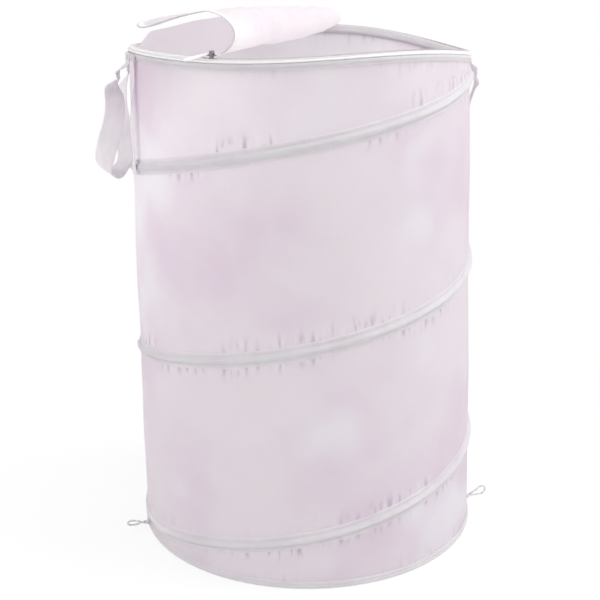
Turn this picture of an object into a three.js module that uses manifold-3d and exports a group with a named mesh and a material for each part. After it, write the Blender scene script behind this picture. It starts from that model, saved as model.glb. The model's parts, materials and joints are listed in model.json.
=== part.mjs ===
// Pop-up laundry hamper: a tube of thin nylon held open by a spiral of spring wire,
// with a wire hoop at the base and at the rim, and a zipped lid peeled back on itself.
// Millimetres, +Z up. The origin is the middle of the base, on the floor. The front faces -Y.
import * as THREE from 'three';
import { mergeVertices } from 'three/addons/utils/BufferGeometryUtils.js';
import Module from 'manifold-3d';

const wasm = await Module();
wasm.setup();

// Driving dimensions
const height = 635; // floor to the zip line of the rim
const rimWallRadius = 213; // outer face of the wall at the rim
const wallTaper = 6.6; // the wall is this much wider in radius at the floor
const baseWallRadius = rimWallRadius + wallTaper;
const lean = 10; // the rim stands this far to -X of the base
const ringSides = 36; // flats round every ring, shared so that nested rings nest

// Clearances
const clear = 0.3; // between sewn layers and between pieces that touch
const foldGap = 0.8; // between the lid panels at each fold line
const zipFoldGap = 2; // the same between the thicker pieces of its zip
const seamSlit = 0.8; // where a hem's ends meet

// Wall
const wallThick = 0.8;
const wallRows = 15;
const wallDip = 3; // the cloth draws in this far between two turns of the spiral
const wallDipFade = 70; // the dip dies out over this height at the base and the rim
const seamAngle = rad(135);
const seamWidth = 12;
const seamThick = 0.8;

// Spiral
const coilTopDrop = 34.3; // the spiral's line ends this far below the zip line
const coilFootRise = 33.34; // and starts this far above the floor
const coilTilt = 5.6; // each turn leans up by this much
const coilTiltToward = rad(40);
const coilStartTurn = -2.4; // turns are counted back from +X at the top
const coilEndTurn = -0.02;
const coilTopHeight = height - coilTopDrop;
const coilPitch = (coilTopHeight - coilFootRise) / -coilStartTurn;
const coilWireRadius = 1.5;
const channelWidth = 20;
const channelTape = 0.7; // thickness of the tape's flat edges
const channelSkin = 0.4; // cloth over the wire
const channelRidge = 4; // half width of the ridge at its foot
const channelCrown = 1.6; // half width of the ridge at its top
const channelBoreRadius = 2.1;
const wireEndInset = rad(3); // the wire stops short of the channel's ends
const capLength = rad(1.6);
const capWall = 0.15;

// Hoops and their hems
const hoopWireRadius = 1.6;
const hoopBoreRadius = 3;
const hemSkin = 0.4;
const hemFlangeThick = 0.8;
const rimHemDepth = 16.5; // below the zip line
const rimHemTop = 5.1; // below the zip line
const baseBindingHeight = 16;
const ferruleWall = 0.5;
const ferruleAngle = rad(95);
const ferruleHalfAngle = rad(1.9);
const hoopJointAngle = rad(0.12);
const hoopInset = 1.8; // wire centre inside the wall's outer face
const basePanelThick = 0.9;

// Zip on the rim
const coilBead = 0.9;
const rimCoilInset = 1.2; // coil centre inside the wall's outer face
const rimTapeThick = 0.7;
const pipingRadius = 1.2;
const pipingOut = 0.6;
const zipFrom = rad(-117); // the slider's place with the lid peeled open
const lidOpenToward = rad(-20); // the free half points this way, at a corner of the rings
const sliderHalfAngle = rad(1.35);
const stopHalfAngle = rad(0.55);
const stopClear = rad(0.6);

// Lid
const lidThick = 0.8;
const lidEdgeWidth = 8.1;
const lidTapeHalf = 0.5;
const foldCount = 4;
const foldTotal = rad(187);
const foldRadius = 25;
const firstFold = -27; // fold line's distance from the middle, towards the free half

// Slider and pull
const sliderLength = 10;
const sliderPlate = 1.2;
const sliderThroat = 2.4;
const pinHeight = 5.2;
const pinRadius = 0.6;
const cheekThick = 0.8;
const cheekGap = 3.8;
const eyeBore = 1.1;
const eyeRadius = 1.9;
const pullLength = 34;
const pullThick = 1.6;
const pullYaw = rad(16);
const pullDrop = rad(16);

// Straps and loops
const strapWidth = 26;
const strapThick = 1.6;
const leaveDrop = 32; // a handle's sewn tails end this far below the zip line
const tailStraight = 4; // on both sides of that line the strap hangs straight down
const tailSteps = 6;
const handleReach = 155; // a handle's loop hangs this far below the zip line
const tieReach = 150;
const tieWidth = 15;
const tieThick = 1.2;
const tieAngle = rad(-156.5);
const patchThick = 0.9;
const patchHeight = 9;
const patchTop = 6.4; // below the zip line
const loopCordRadius = 1.1;
const loopReach = 34;
const loopHalfWidth = 6;
const loopRootHeight = 8;
const loopTunnelRadius = loopCordRadius + 0.4; // the cord turns freely in its tab
const loopTabWall = 0.6;
const loopTabWidth = 6;
const loopSteps = 40;

const hamper = new THREE.Group();
hamper.name = 'pop_up_hamper';

// Materials
const nylon = () => cloth(0xe9e1e7, 0.62);
const nylonDouble = () => cloth(0xefe9ee, 0.6);
const tapeCloth = () => cloth(0xf2eef1, 0.7);
const strapCloth = () => cloth(0xdcd5da, 0.68);
const cordCloth = () => cloth(0xbfbcc0, 0.8);
const springSteel = () => finish(0x9a9da0, 0.35, 1);
const crimpMetal = () => finish(0xb9bcc0, 0.4, 1);
const zipPlastic = () => finish(0xf4f2f4, 0.4, 0);
const sliderMetal = () => finish(0x5c5a5e, 0.4, 0.8);
const capPlastic = () => finish(0x2e2d30, 0.5, 0);

function cloth(color, roughness) {
  return new THREE.MeshStandardMaterial({ color, roughness, metalness: 0, side: THREE.DoubleSide });
}

function finish(color, roughness, metalness) {
  return new THREE.MeshStandardMaterial({ color, roughness, metalness });
}

function rad(degrees) {
  return degrees * Math.PI / 180;
}

function add(name, geometry, material, parent = hamper) {
  geometry.computeVertexNormals();
  const mesh = new THREE.Mesh(geometry, material);
  mesh.name = name;
  parent.add(mesh);
  return mesh;
}

// Sweep a flat outline through the stations. place(station, u, v) gives each point.
// The outline may have a hole, and the sweep may close on itself.
function sweep(stations, outline, place, { hole = [], loop = false } = {}) {
  const ring = area(outline) < 0 ? [...outline].reverse() : outline;
  const bore = area(hole) > 0 ? [...hole].reverse() : hole;
  const points = [...ring, ...bore];
  const positions = stations.flatMap((station) => points.flatMap(([u, v]) => place(station, u, v)));
  const index = [];
  const spans = loop ? stations.length : stations.length - 1;
  for (let row = 0; row < spans; row += 1) {
    const here = row * points.length;
    const next = ((row + 1) % stations.length) * points.length;
    for (const [first, count] of [[0, ring.length], [ring.length, bore.length]]) {
      for (let i = 0; i < count; i += 1) {
        const a = first + i;
        const b = first + (i + 1) % count;
        index.push(here + a, here + b, next + b, here + a, next + b, next + a);
      }
    }
  }
  if (!loop) {
    const flat = (list) => list.map(([u, v]) => new THREE.Vector2(u, v));
    const last = (stations.length - 1) * points.length;
    for (const face of THREE.ShapeUtils.triangulateShape(flat(ring), bore.length ? [flat(bore)] : [])) {
      const turned = area(face.map((corner) => points[corner])) < 0 ? [...face].reverse() : face;
      index.push(turned[2], turned[1], turned[0]);
      index.push(last + turned[0], last + turned[1], last + turned[2]);
    }
  }
  return facingOut(positions, index);
}

function area(list) {
  return list.reduce((sum, [u, v], i) => {
    const [nextU, nextV] = list[(i + 1) % list.length];
    return sum + u * nextV - nextU * v;
  }, 0) / 2;
}

function facingOut(positions, index) {
  const at = (i) => new THREE.Vector3().fromArray(positions, i * 3);
  let volume = 0;
  for (let i = 0; i < index.length; i += 3) {
    volume += at(index[i]).dot(at(index[i + 1]).cross(at(index[i + 2]))) / 6;
  }
  if (volume < 0) index.reverse();
  const geometry = new THREE.BufferGeometry();
  geometry.setAttribute('position', new THREE.Float32BufferAttribute(positions, 3));
  geometry.setIndex(index);
  return geometry;
}

// Booleans
function toManifold(geometry) {
  const bare = geometry.clone();
  bare.deleteAttribute('normal');
  bare.deleteAttribute('uv');
  const welded = mergeVertices(bare, 1e-4);
  const triVerts = new Uint32Array(welded.getIndex().array);
  const vertProperties = new Float32Array(welded.getAttribute('position').array);
  return new wasm.Manifold(new wasm.Mesh({ numProp: 3, vertProperties, triVerts }));
}

function join(geometries) {
  const [first, ...rest] = geometries.map(toManifold);
  const mesh = rest.reduce((sum, piece) => sum.add(piece), first).getMesh();
  const geometry = new THREE.BufferGeometry();
  geometry.setAttribute('position', new THREE.BufferAttribute(new Float32Array(mesh.vertProperties), 3));
  geometry.setIndex(new THREE.BufferAttribute(new Uint32Array(mesh.triVerts), 1));
  return geometry;
}

// A regular polygon about (u, v), with a corner on the +u side
function polygon(radius, sides, u = 0, v = 0) {
  return Array.from({ length: sides }, (_, i) => {
    const turn = i * 2 * Math.PI / sides;
    return [u + radius * Math.cos(turn), v + radius * Math.sin(turn)];
  });
}

function fromTo(start, end, count) {
  return Array.from({ length: count + 1 }, (_, i) => start + (end - start) * i / count);
}

// Angles from start to end, in step with the corners that all rings share
function ringAngles(start, end) {
  const step = 2 * Math.PI / ringSides;
  const angles = [start];
  for (let i = Math.floor(start / step) + 1; i * step < end - 1e-6; i += 1) {
    if (i * step > start + 1e-6) angles.push(i * step);
  }
  angles.push(end);
  return angles;
}

const flatShare = Math.cos(Math.PI / ringSides); // a ring's flats lie this much nearer its middle
const fullRing = fromTo(0, 2 * Math.PI, ringSides).slice(0, ringSides);

// Radius, centre and height of the leaning, tapered tube
function wallRadius(z) {
  return baseWallRadius + (rimWallRadius - baseWallRadius) * z / height;
}

function axisX(z) {
  return -lean * z / height;
}

// Between two corners of a ring the piece runs straight
function facet(angle) {
  const step = 2 * Math.PI / ringSides;
  const fromCorner = angle - Math.floor(angle / step + 1e-9) * step;
  return Math.cos(step / 2) / Math.cos(fromCorner - step / 2);
}

function smooth(t) {
  const x = Math.min(Math.max(t, 0), 1);
  return x * x * (3 - 2 * x);
}

// A point of the tube, out from the wall's outer face by u, at height z
function onTube(angle, u, z) {
  const r = (wallRadius(z) + u) * facet(angle);
  return [axisX(z) + r * Math.cos(angle), r * Math.sin(angle), z];
}

// The same, with z measured from the zip line
function onRim(angle, u, v) {
  return onTube(angle, u, height + v);
}

function coilHeight(angle) {
  return coilTopHeight + coilPitch * angle / (2 * Math.PI) + coilTilt * Math.cos(angle - coilTiltToward);
}

function onCoil(angle, u, v) {
  return onTube(angle, u, coilHeight(angle) + v);
}

// Wall

function dipAt(angle, z) {
  const phase = (z - coilHeight(angle)) / coilPitch;
  const fade = smooth(z / wallDipFade) * smooth((height - z) / wallDipFade);
  return wallDip * fade * Math.sin(Math.PI * phase) ** 2;
}

const rimTubeBottom = rimHemTop + 2 * (hoopBoreRadius * Math.cos(Math.PI / 6) + hemSkin);
const baseTubeTop = 2 * (hoopBoreRadius * Math.cos(Math.PI / 6) + hemSkin);
const wallBottom = baseTubeTop + clear;
const wallTop = height - rimTubeBottom - clear;

function makeWall() {
  const heights = fromTo(wallBottom, wallTop, wallRows);
  const outline = [
    ...heights.map((z) => [0, z]),
    ...[...heights].reverse().map((z) => [-wallThick, z]),
  ];
  const place = (angle, u, z) => onTube(angle, u - dipAt(angle, z), z);
  add('wall_fabric', sweep(fullRing, outline, place, { loop: true }), nylon());
}

function makeWallSeam() {
  const heights = fromTo(wallBottom, wallTop, wallRows);
  const half = seamWidth / 2;
  const inner = -wallThick - clear;
  const outline = [[inner, -half], [inner - seamThick, -half], [inner - seamThick, half], [inner, half]];
  const place = (z, u, along) => {
    const angle = seamAngle + along / wallRadius(z);
    return onTube(angle, u - dipAt(angle, z), z);
  };
  add('wall_seam_tape', sweep(heights, outline, place), tapeCloth());
}

// Spiral

const coilStart = coilStartTurn * 2 * Math.PI;
const coilEnd = coilEndTurn * 2 * Math.PI;
const channelBoreOut = clear + channelSkin + channelBoreRadius * Math.cos(Math.PI / 6);

// Hexagon with flats towards and away from the wall
function hexAcross(radius, u, v) {
  return polygon(radius, 6).map(([x, y]) => [u + y, v + x]);
}

function makeSpiralWire() {
  const angles = ringAngles(coilStart + wireEndInset, coilEnd - wireEndInset);
  const outline = hexAcross(coilWireRadius, channelBoreOut, 0);
  add('spiral_wire', sweep(angles, outline, onCoil), springSteel());
  printLeastGap(angles);
}

// Least gap between the surfaces of the wire's turns, measured on the points of its middle line
function printLeastGap(angles) {
  const middle = angles.map((angle) => new THREE.Vector3(...onCoil(angle, channelBoreOut, 0)));
  let least = Infinity;
  for (let i = 0; i < middle.length; i += 1) {
    for (let j = i + ringSides / 2; j < middle.length; j += 1) {
      least = Math.min(least, middle[i].distanceTo(middle[j]) - 2 * coilWireRadius);
    }
  }
  console.log(`spiral_wire: least gap to itself ${least.toFixed(1)} mm`);
}

function makeSpiralChannel() {
  const half = channelWidth / 2;
  const crown = channelBoreOut + channelBoreRadius * Math.cos(Math.PI / 6) + channelSkin;
  const outline = [
    [clear, -half], [clear + channelTape, -half], [clear + channelTape, -channelRidge],
    [crown, -channelCrown], [crown, channelCrown],
    [clear + channelTape, channelRidge], [clear + channelTape, half], [clear, half],
  ];
  const hole = hexAcross(channelBoreRadius, channelBoreOut, 0);
  const angles = ringAngles(coilStart, coilEnd);
  add('spiral_channel', sweep(angles, outline, onCoil, { hole }), nylonDouble());
}

// Plastic caps on the wire's cut ends, inside the channel
function makeSpiralCap(name, start, end) {
  const outline = hexAcross(coilWireRadius + capWall, channelBoreOut, 0);
  add(name, sweep([start, end], outline, onCoil), capPlastic());
}

// Hoops

function makeHoopWire(name, v, place) {
  const start = ferruleAngle + hoopJointAngle;
  const end = ferruleAngle + 2 * Math.PI - hoopJointAngle;
  const outline = polygon(hoopWireRadius, 6, -hoopInset, v);
  add(name, sweep(ringAngles(start, end), outline, place), springSteel());
}

function makeFerrule(name, v, place) {
  const bore = hoopWireRadius + clear / Math.cos(Math.PI / 6);
  const outline = polygon(bore + ferruleWall, 6, -hoopInset, v);
  const hole = polygon(bore, 6, -hoopInset, v);
  const angles = [ferruleAngle - ferruleHalfAngle, ferruleAngle + ferruleHalfAngle];
  add(name, sweep(angles, outline, place, { hole }), crimpMetal());
}

// A hem's ends meet at the back, so that its bore isn't sealed
function hemAngles() {
  const slit = seamSlit / 2 / rimWallRadius;
  return ringAngles(Math.PI / 2 + slit, 5 * Math.PI / 2 - slit);
}

const hemOut = 1.9;
const hemIn = -hoopInset - hoopBoreRadius - 2 * hemSkin;
const hemShoulder = 1.2;
const boreFlat = hoopBoreRadius * Math.cos(Math.PI / 6);
const rimHoopDrop = rimHemTop + hemSkin + boreFlat;
const baseHoopHeight = hemSkin + boreFlat;

function makeRimHem() {
  const outline = [
    [clear, -rimHemDepth], [clear + hemFlangeThick, -rimHemDepth], [clear + hemFlangeThick + 0.2, -rimTubeBottom],
    [hemOut, -rimHoopDrop], [hemOut - hemShoulder, -rimHemTop],
    [hemIn + hemShoulder, -rimHemTop], [hemIn, -rimHoopDrop], [hemIn + hemShoulder, -rimTubeBottom],
    [clear, -rimTubeBottom],
  ];
  const hole = polygon(hoopBoreRadius, 6, -hoopInset, -rimHoopDrop);
  add('rim_hem', sweep(hemAngles(), outline, onRim, { hole }), nylonDouble());
}

const bindingOut = clear + hemFlangeThick + 0.2; // outer face of the flange at its foot

function makeBaseBinding() {
  const outline = [
    [clear, baseBindingHeight], [clear + hemFlangeThick, baseBindingHeight],
    [bindingOut, baseTubeTop], [hemOut, baseHoopHeight], [hemOut - hemShoulder, 0],
    [hemIn + hemShoulder, 0], [hemIn, baseHoopHeight], [hemIn + hemShoulder, baseTubeTop],
    [clear, baseTubeTop],
  ];
  const hole = polygon(hoopBoreRadius, 6, -hoopInset, baseHoopHeight);
  add('base_binding', sweep(hemAngles(), outline, onTube, { hole }), nylonDouble());
}

function makeBasePanel() {
  const edge = hemIn + hemShoulder * (1 - basePanelThick / baseHoopHeight) - clear;
  const outline = [[edge, 0], [edge, basePanelThick]];
  const rim = outline.flatMap(([u, z]) => fullRing.map((angle) => onTube(angle, u, z)));
  const shape = new THREE.Shape(rim.slice(0, ringSides).map(([x, y]) => new THREE.Vector2(x, y)));
  const panel = new THREE.ExtrudeGeometry(shape, { depth: basePanelThick, bevelEnabled: false });
  add('base_panel', panel, nylon());
}

// Zip line on the rim

const zipTo = 2 * lidOpenToward - zipFrom; // where the slider stops with the lid closed
const zipStart = zipFrom - sliderHalfAngle - stopClear;
const zipEnd = zipTo + sliderHalfAngle + stopClear;

function makeRimZip() {
  const tapeTop = -coilBead * Math.cos(Math.PI / 6) - clear;
  const tapeBottom = -rimHemTop + clear;
  const inner = -rimCoilInset - rimTapeThick / 2;
  const tape = [[inner, tapeBottom], [inner + rimTapeThick, tapeBottom], [inner + rimTapeThick, tapeTop], [inner, tapeTop]];
  add('rim_zip_tape', sweep(fullRing, tape, onRim, { loop: true }), tapeCloth());

  const piping = polygon(pipingRadius, 6, pipingOut, -rimHemTop + clear + pipingRadius * Math.cos(Math.PI / 6));
  add('rim_piping', sweep(fullRing, piping, onRim, { loop: true }), nylonDouble());

  const coil = polygon(coilBead, 6, -rimCoilInset, 0);
  add('rim_zip_coil', sweep(ringAngles(zipStart, zipEnd), coil, onRim), zipPlastic());
}

function makeZipStop(name, middle) {
  const out = -rimCoilInset + coilBead;
  const within = out - 3.4;
  const outline = [[within, -coilBead], [out, -coilBead], [out, coilBead], [within, coilBead]];
  const angles = [middle - stopHalfAngle, middle + stopHalfAngle];
  add(name, sweep(angles, outline, onRim), crimpMetal());
}

// Lid. x runs from the rim's middle towards the free half, s runs along the fold lines.

const lidCoilRadius = rimWallRadius - rimCoilInset - coilBead - clear - coilBead;
const lidEdgeOut = lidCoilRadius + coilBead;
const lidEdgeIn = lidEdgeOut - lidEdgeWidth;
const panelRadius = lidEdgeIn - clear;
const foldAngle = foldTotal / foldCount;
const foldStep = 2 * foldRadius * Math.tan(foldAngle / 2);
const foldLines = fromTo(firstFold, firstFold + (foldCount - 1) * foldStep, foldCount - 1);
const rimMiddle = new THREE.Vector3(-lean, 0, height);
const alongOpen = new THREE.Vector3(Math.cos(lidOpenToward), Math.sin(lidOpenToward), 0);
const alongFold = new THREE.Vector3(-Math.sin(lidOpenToward), Math.cos(lidOpenToward), 0);

function onLid(x, s, up) {
  return rimMiddle.clone().addScaledVector(alongOpen, x).addScaledVector(alongFold, s)
    .add(new THREE.Vector3(0, 0, up)).toArray();
}

// Peeling the lid turns each piece up about every fold line between it and the rim
function foldAxis(k) {
  return { point: new THREE.Vector3(...onLid(foldLines[k - 1], 0, 0)), direction: alongFold.clone() };
}

function turnAbout({ point, direction }, angle) {
  const there = new THREE.Matrix4().makeTranslation(point.x, point.y, point.z);
  const back = new THREE.Matrix4().makeTranslation(-point.x, -point.y, -point.z);
  return there.multiply(new THREE.Matrix4().makeRotationAxis(direction, angle)).multiply(back);
}

function peeled(pieceNumber) {
  const turn = new THREE.Matrix4();
  for (let k = 1; k <= pieceNumber; k += 1) turn.multiply(turnAbout(foldAxis(k), -foldAngle));
  return turn;
}

// The panel between two lines, one straight strip after the other
function panelBetween(from, to) {
  const step = 2 * Math.PI / ringSides;
  const tip = panelRadius * Math.cos(step / 2);
  const [start, end] = [from, to].map((x) => THREE.MathUtils.clamp(x, -tip, tip));
  const corners = fromTo(0, Math.PI, ringSides / 2).map((turn) => -panelRadius * Math.cos(turn));
  const inside = corners.filter((x) => x > start + 0.5 && x < end - 0.5);
  const half = lidThick / 2;
  const outline = [[0, -half], [1, -half], [1, half], [0, half]];
  const place = (x, share, up) => {
    const reach = chordReach(x, panelRadius);
    return onLid(x, reach * (2 * share - 1), up);
  };
  return sweep([start, ...inside, end], outline, place);
}

// Half the length of the line at x inside the ring's polygon of this radius
function chordReach(x, radius) {
  const step = 2 * Math.PI / ringSides;
  const turn = Math.acos(THREE.MathUtils.clamp(x / radius, -1, 1));
  const low = Math.floor(turn / step + 1e-9) * step;
  const share = (Math.cos(low) * radius - x) / ((Math.cos(low) - Math.cos(low + step)) * radius);
  return radius * (Math.sin(low) + (Math.sin(low + step) - Math.sin(low)) * share);
}

const edgeOutline = [
  [lidEdgeIn, -lidTapeHalf], [lidCoilRadius - coilBead, -lidTapeHalf],
  [lidCoilRadius - coilBead / 2, -coilBead], [lidCoilRadius + coilBead / 2, -coilBead], [lidEdgeOut, 0],
  [lidCoilRadius + coilBead / 2, coilBead], [lidCoilRadius - coilBead / 2, coilBead],
  [lidCoilRadius - coilBead, lidTapeHalf], [lidEdgeIn, lidTapeHalf],
];

// Zip tape and coil on the lid's edge. A station is a turn from the open direction,
// or a straight cut across at x on one side.
function lidEdge(stations, outline = edgeOutline) {
  const place = ({ turn, side, cut }, r, up) => {
    if (turn === undefined) return onLid(cut, side * chordReach(cut, r), up);
    const out = r * facet(turn);
    return onLid(out * Math.cos(turn), out * Math.sin(turn), up);
  };
  return sweep(stations, outline, place);
}

function turnsBetween(from, to) {
  return ringAngles(from, to).slice(1, -1).map((turn) => ({ turn }));
}

const firstTurn = zipTo - lidOpenToward - sliderHalfAngle - rad(0.4); // the free edge's ends

function makeLid() {
  const lines = foldLines.map((x) => [x - foldGap / 2, x + foldGap / 2]);
  add('lid_panel_fixed', panelBetween(-Infinity, lines[0][0]), nylon());
  add('lid_edge_fixed', sewnEdge(), tapeCloth());
  for (let k = 1; k < foldCount; k += 1) {
    const from = lines[k - 1][1];
    const to = lines[k][0];
    add(`lid_panel_bend_${k}`, panelBetween(from, to).applyMatrix4(peeled(k)), nylon());
    for (const [end, side] of [['front', -1], ['back', 1]]) {
      const start = k === 1 ? { turn: side * firstTurn } : { side, cut: foldLines[k - 1] + zipFoldGap / 2 };
      const last = { side, cut: foldLines[k] - zipFoldGap / 2 };
      const [low, high] = [last, start].map(({ turn, cut }) => Math.abs(turn ?? Math.acos(cut / lidCoilRadius)));
      const corners = turnsBetween(low, high).reverse().map(({ turn }) => ({ turn: side * turn }));
      const edge = lidEdge([start, ...corners, last]).applyMatrix4(peeled(k));
      add(`lid_zip_bend_${k}_${end}`, edge, tapeCloth());
    }
  }
  const cut = foldLines[foldCount - 1] + zipFoldGap / 2;
  const reach = Math.acos(cut / lidEdgeOut);
  const around = [{ side: -1, cut }, ...turnsBetween(-reach + rad(1), reach - rad(1)), { side: 1, cut }];
  add('lid_panel_flap', panelBetween(lines[foldCount - 1][1], Infinity).applyMatrix4(peeled(foldCount)), nylon());
  add('lid_zip_flap', lidEdge(around).applyMatrix4(peeled(foldCount)), tapeCloth());
}

// The half of the lid's edge that stays sewn down, turned over onto the rim's tape
function sewnEdge() {
  const lip = rimWallRadius - rimCoilInset + rimTapeThick / 2;
  const lipBottom = -coilBead * Math.cos(Math.PI / 6);
  const outline = [
    [lidEdgeIn, -lidTapeHalf], [lip - 1.1, -lidTapeHalf], [lip - 1.1, lipBottom],
    [lip, lipBottom], [lip, lidTapeHalf], [lidEdgeIn, lidTapeHalf],
  ];
  const start = zipTo - lidOpenToward + 2 * sliderHalfAngle + stopClear + 2 * stopHalfAngle;
  const end = 2 * Math.PI - start;
  return lidEdge(ringAngles(start, end).map((turn) => ({ turn })), outline);
}

// Slider and pull, built at the origin and then carried to the zip

function plate(outline, depth, lift = 0) {
  const shape = new THREE.Shape(outline.map(([x, y]) => new THREE.Vector2(x, y)));
  const geometry = new THREE.ExtrudeGeometry(shape, { depth, bevelEnabled: false });
  return geometry.translate(0, 0, lift);
}

// Shield outline of a zip slider: x out from the rim's middle, y along the zip
function shieldOutline(inner, outer) {
  const half = sliderLength / 2;
  const waist = half * 0.45;
  const middle = (inner + outer) / 2;
  return [
    [inner, -waist], [inner + 1.2, -half], [outer - 1.2, -half], [outer, -waist],
    [outer, waist], [outer - 1.4, half], [middle, half - 0.9], [inner + 1.4, half], [inner, waist],
  ];
}

const sliderMiddle = (lidCoilRadius + rimWallRadius - rimCoilInset) / 2 - 0.6;
const sliderInner = lidCoilRadius - 3;
const sliderOuter = rimWallRadius + 1;

function makeSlider(carrier) {
  const under = (rimWallRadius - rimCoilInset - rimTapeThick / 2) * flatShare - clear;
  const between = (rimWallRadius - rimCoilInset - coilBead) * flatShare - clear;
  const top = plate(shieldOutline(sliderInner, sliderOuter), sliderPlate, sliderThroat / 2);
  const bottom = plate(shieldOutline(sliderInner, under), sliderPlate, -sliderThroat / 2 - sliderPlate);
  const wedge = plate(
    [[between - 1.8, 0], [between - 0.9, -3], [between, 0], [between - 0.9, 3.4]],
    sliderThroat + sliderPlate, -(sliderThroat + sliderPlate) / 2,
  );
  const cheeks = [-1, 1].map((side) => {
    const outline = [[-2.2, 0], [2.2, 0], [1.5, pinHeight + 1], [0, pinHeight + 1.6], [-1.5, pinHeight + 1]];
    const cheek = plate(outline, cheekThick, -cheekThick / 2);
    cheek.rotateX(Math.PI / 2).rotateZ(Math.PI / 2);
    return cheek.translate(sliderMiddle + side * (cheekGap + cheekThick) / 2, 0, 0);
  });
  const footing = sliderThroat / 2 + sliderPlate / 2;
  const trimmed = cheeks.map((cheek) => cutBelow(cheek, footing));
  const pin = new THREE.CylinderGeometry(pinRadius, pinRadius, cheekGap + cheekThick, 12);
  pin.rotateZ(Math.PI / 2).translate(sliderMiddle, 0, pinHeight);
  add('zip_slider', join([top, bottom, wedge, ...trimmed, pin]), sliderMetal(), carrier);
}

function cutBelow(geometry, z) {
  const position = geometry.getAttribute('position');
  for (let i = 0; i < position.count; i += 1) position.setZ(i, Math.max(position.getZ(i), z));
  return geometry;
}

function makePull(carrier) {
  const shape = new THREE.Shape();
  const neck = 1;
  const end = 1.9;
  shape.absarc(0, 0, eyeRadius, Math.asin(neck / eyeRadius), 2 * Math.PI - Math.asin(neck / eyeRadius));
  shape.lineTo(pullLength * 0.35, -neck);
  shape.lineTo(pullLength - end, -end);
  shape.absarc(pullLength - end, 0, end, -Math.PI / 2, Math.PI / 2);
  shape.lineTo(pullLength * 0.35, neck);
  shape.holes.push(new THREE.Path().absarc(0, 0, eyeBore, 0, 2 * Math.PI, true));
  const bar = new THREE.ExtrudeGeometry(shape, { depth: pullThick, bevelEnabled: false, curveSegments: 8 });
  bar.translate(0, 0, -pullThick / 2);
  // The bar lies along -Y and a little outwards and down, turning on the slider's pin
  bar.rotateX(Math.PI / 2).rotateZ(-Math.PI / 2);
  const tilt = new THREE.Matrix4().makeRotationAxis(new THREE.Vector3(1, 0, 0), pullDrop);
  const yaw = new THREE.Matrix4().makeRotationZ(pullYaw);
  bar.applyMatrix4(tilt).applyMatrix4(yaw).translate(sliderMiddle, 0, pinHeight);
  add('zip_pull', bar, zipPlastic(), carrier);
}

function makeZipHardware() {
  const carrier = new THREE.Group();
  carrier.position.set(-lean, 0, height);
  carrier.rotation.z = zipFrom;
  hamper.add(carrier);
  makeSlider(carrier);
  makePull(carrier);
}

// Straps. A knot gives a point of the middle line and the way across the strap.

function ribbon(knots, width, thick, steps) {
  const path = new THREE.CatmullRomCurve3(knots.map(({ at }) => new THREE.Vector3(...at)), false, 'centripetal');
  const across = new THREE.CatmullRomCurve3(knots.map((knot) => new THREE.Vector3(...knot.across)));
  const stations = fromTo(0, 1, steps).map((t) => {
    const tangent = path.getTangent(t);
    const side = across.getPoint(t);
    side.addScaledVector(tangent, -side.dot(tangent)).normalize();
    return { at: path.getPoint(t), side, face: tangent.cross(side).normalize() };
  });
  const w = width / 2;
  const h = thick / 2;
  const outline = [[-w, -h], [w, -h], [w, h], [-w, h]];
  const place = ({ at, side, face }, u, v) => at.clone().addScaledVector(side, u).addScaledVector(face, v).toArray();
  return sweep(stations, outline, place);
}

// A point by its angle, its distance out from the tube and its drop below the zip line
function beside(angle, out, drop) {
  const r = wallRadius(height - drop) + hemOut + out;
  return [axisX(height - drop) + r * Math.cos(angle), r * Math.sin(angle), height - drop];
}

function tangentAt(angle) {
  return [-Math.sin(angle), Math.cos(angle), 0];
}

function makePatch(name, angle, width) {
  const half = width / 2;
  const outline = [[-half, -patchHeight], [half, -patchHeight], [half, 0], [-half, 0]];
  const [tangentX, tangentY] = tangentAt(angle);
  const place = (out, along, up) => {
    const r = rimWallRadius + hemOut + clear + out;
    const x = -lean + r * Math.cos(angle) + along * tangentX;
    const y = r * Math.sin(angle) + along * tangentY;
    return [x, y, height - patchTop + up];
  };
  add(name, sweep([0, patchThick], outline, place), strapCloth());
}

const strapStandOff = 2 * clear + patchThick + strapThick / 2;
const sewnDrop = patchTop + patchHeight / 2;

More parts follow.
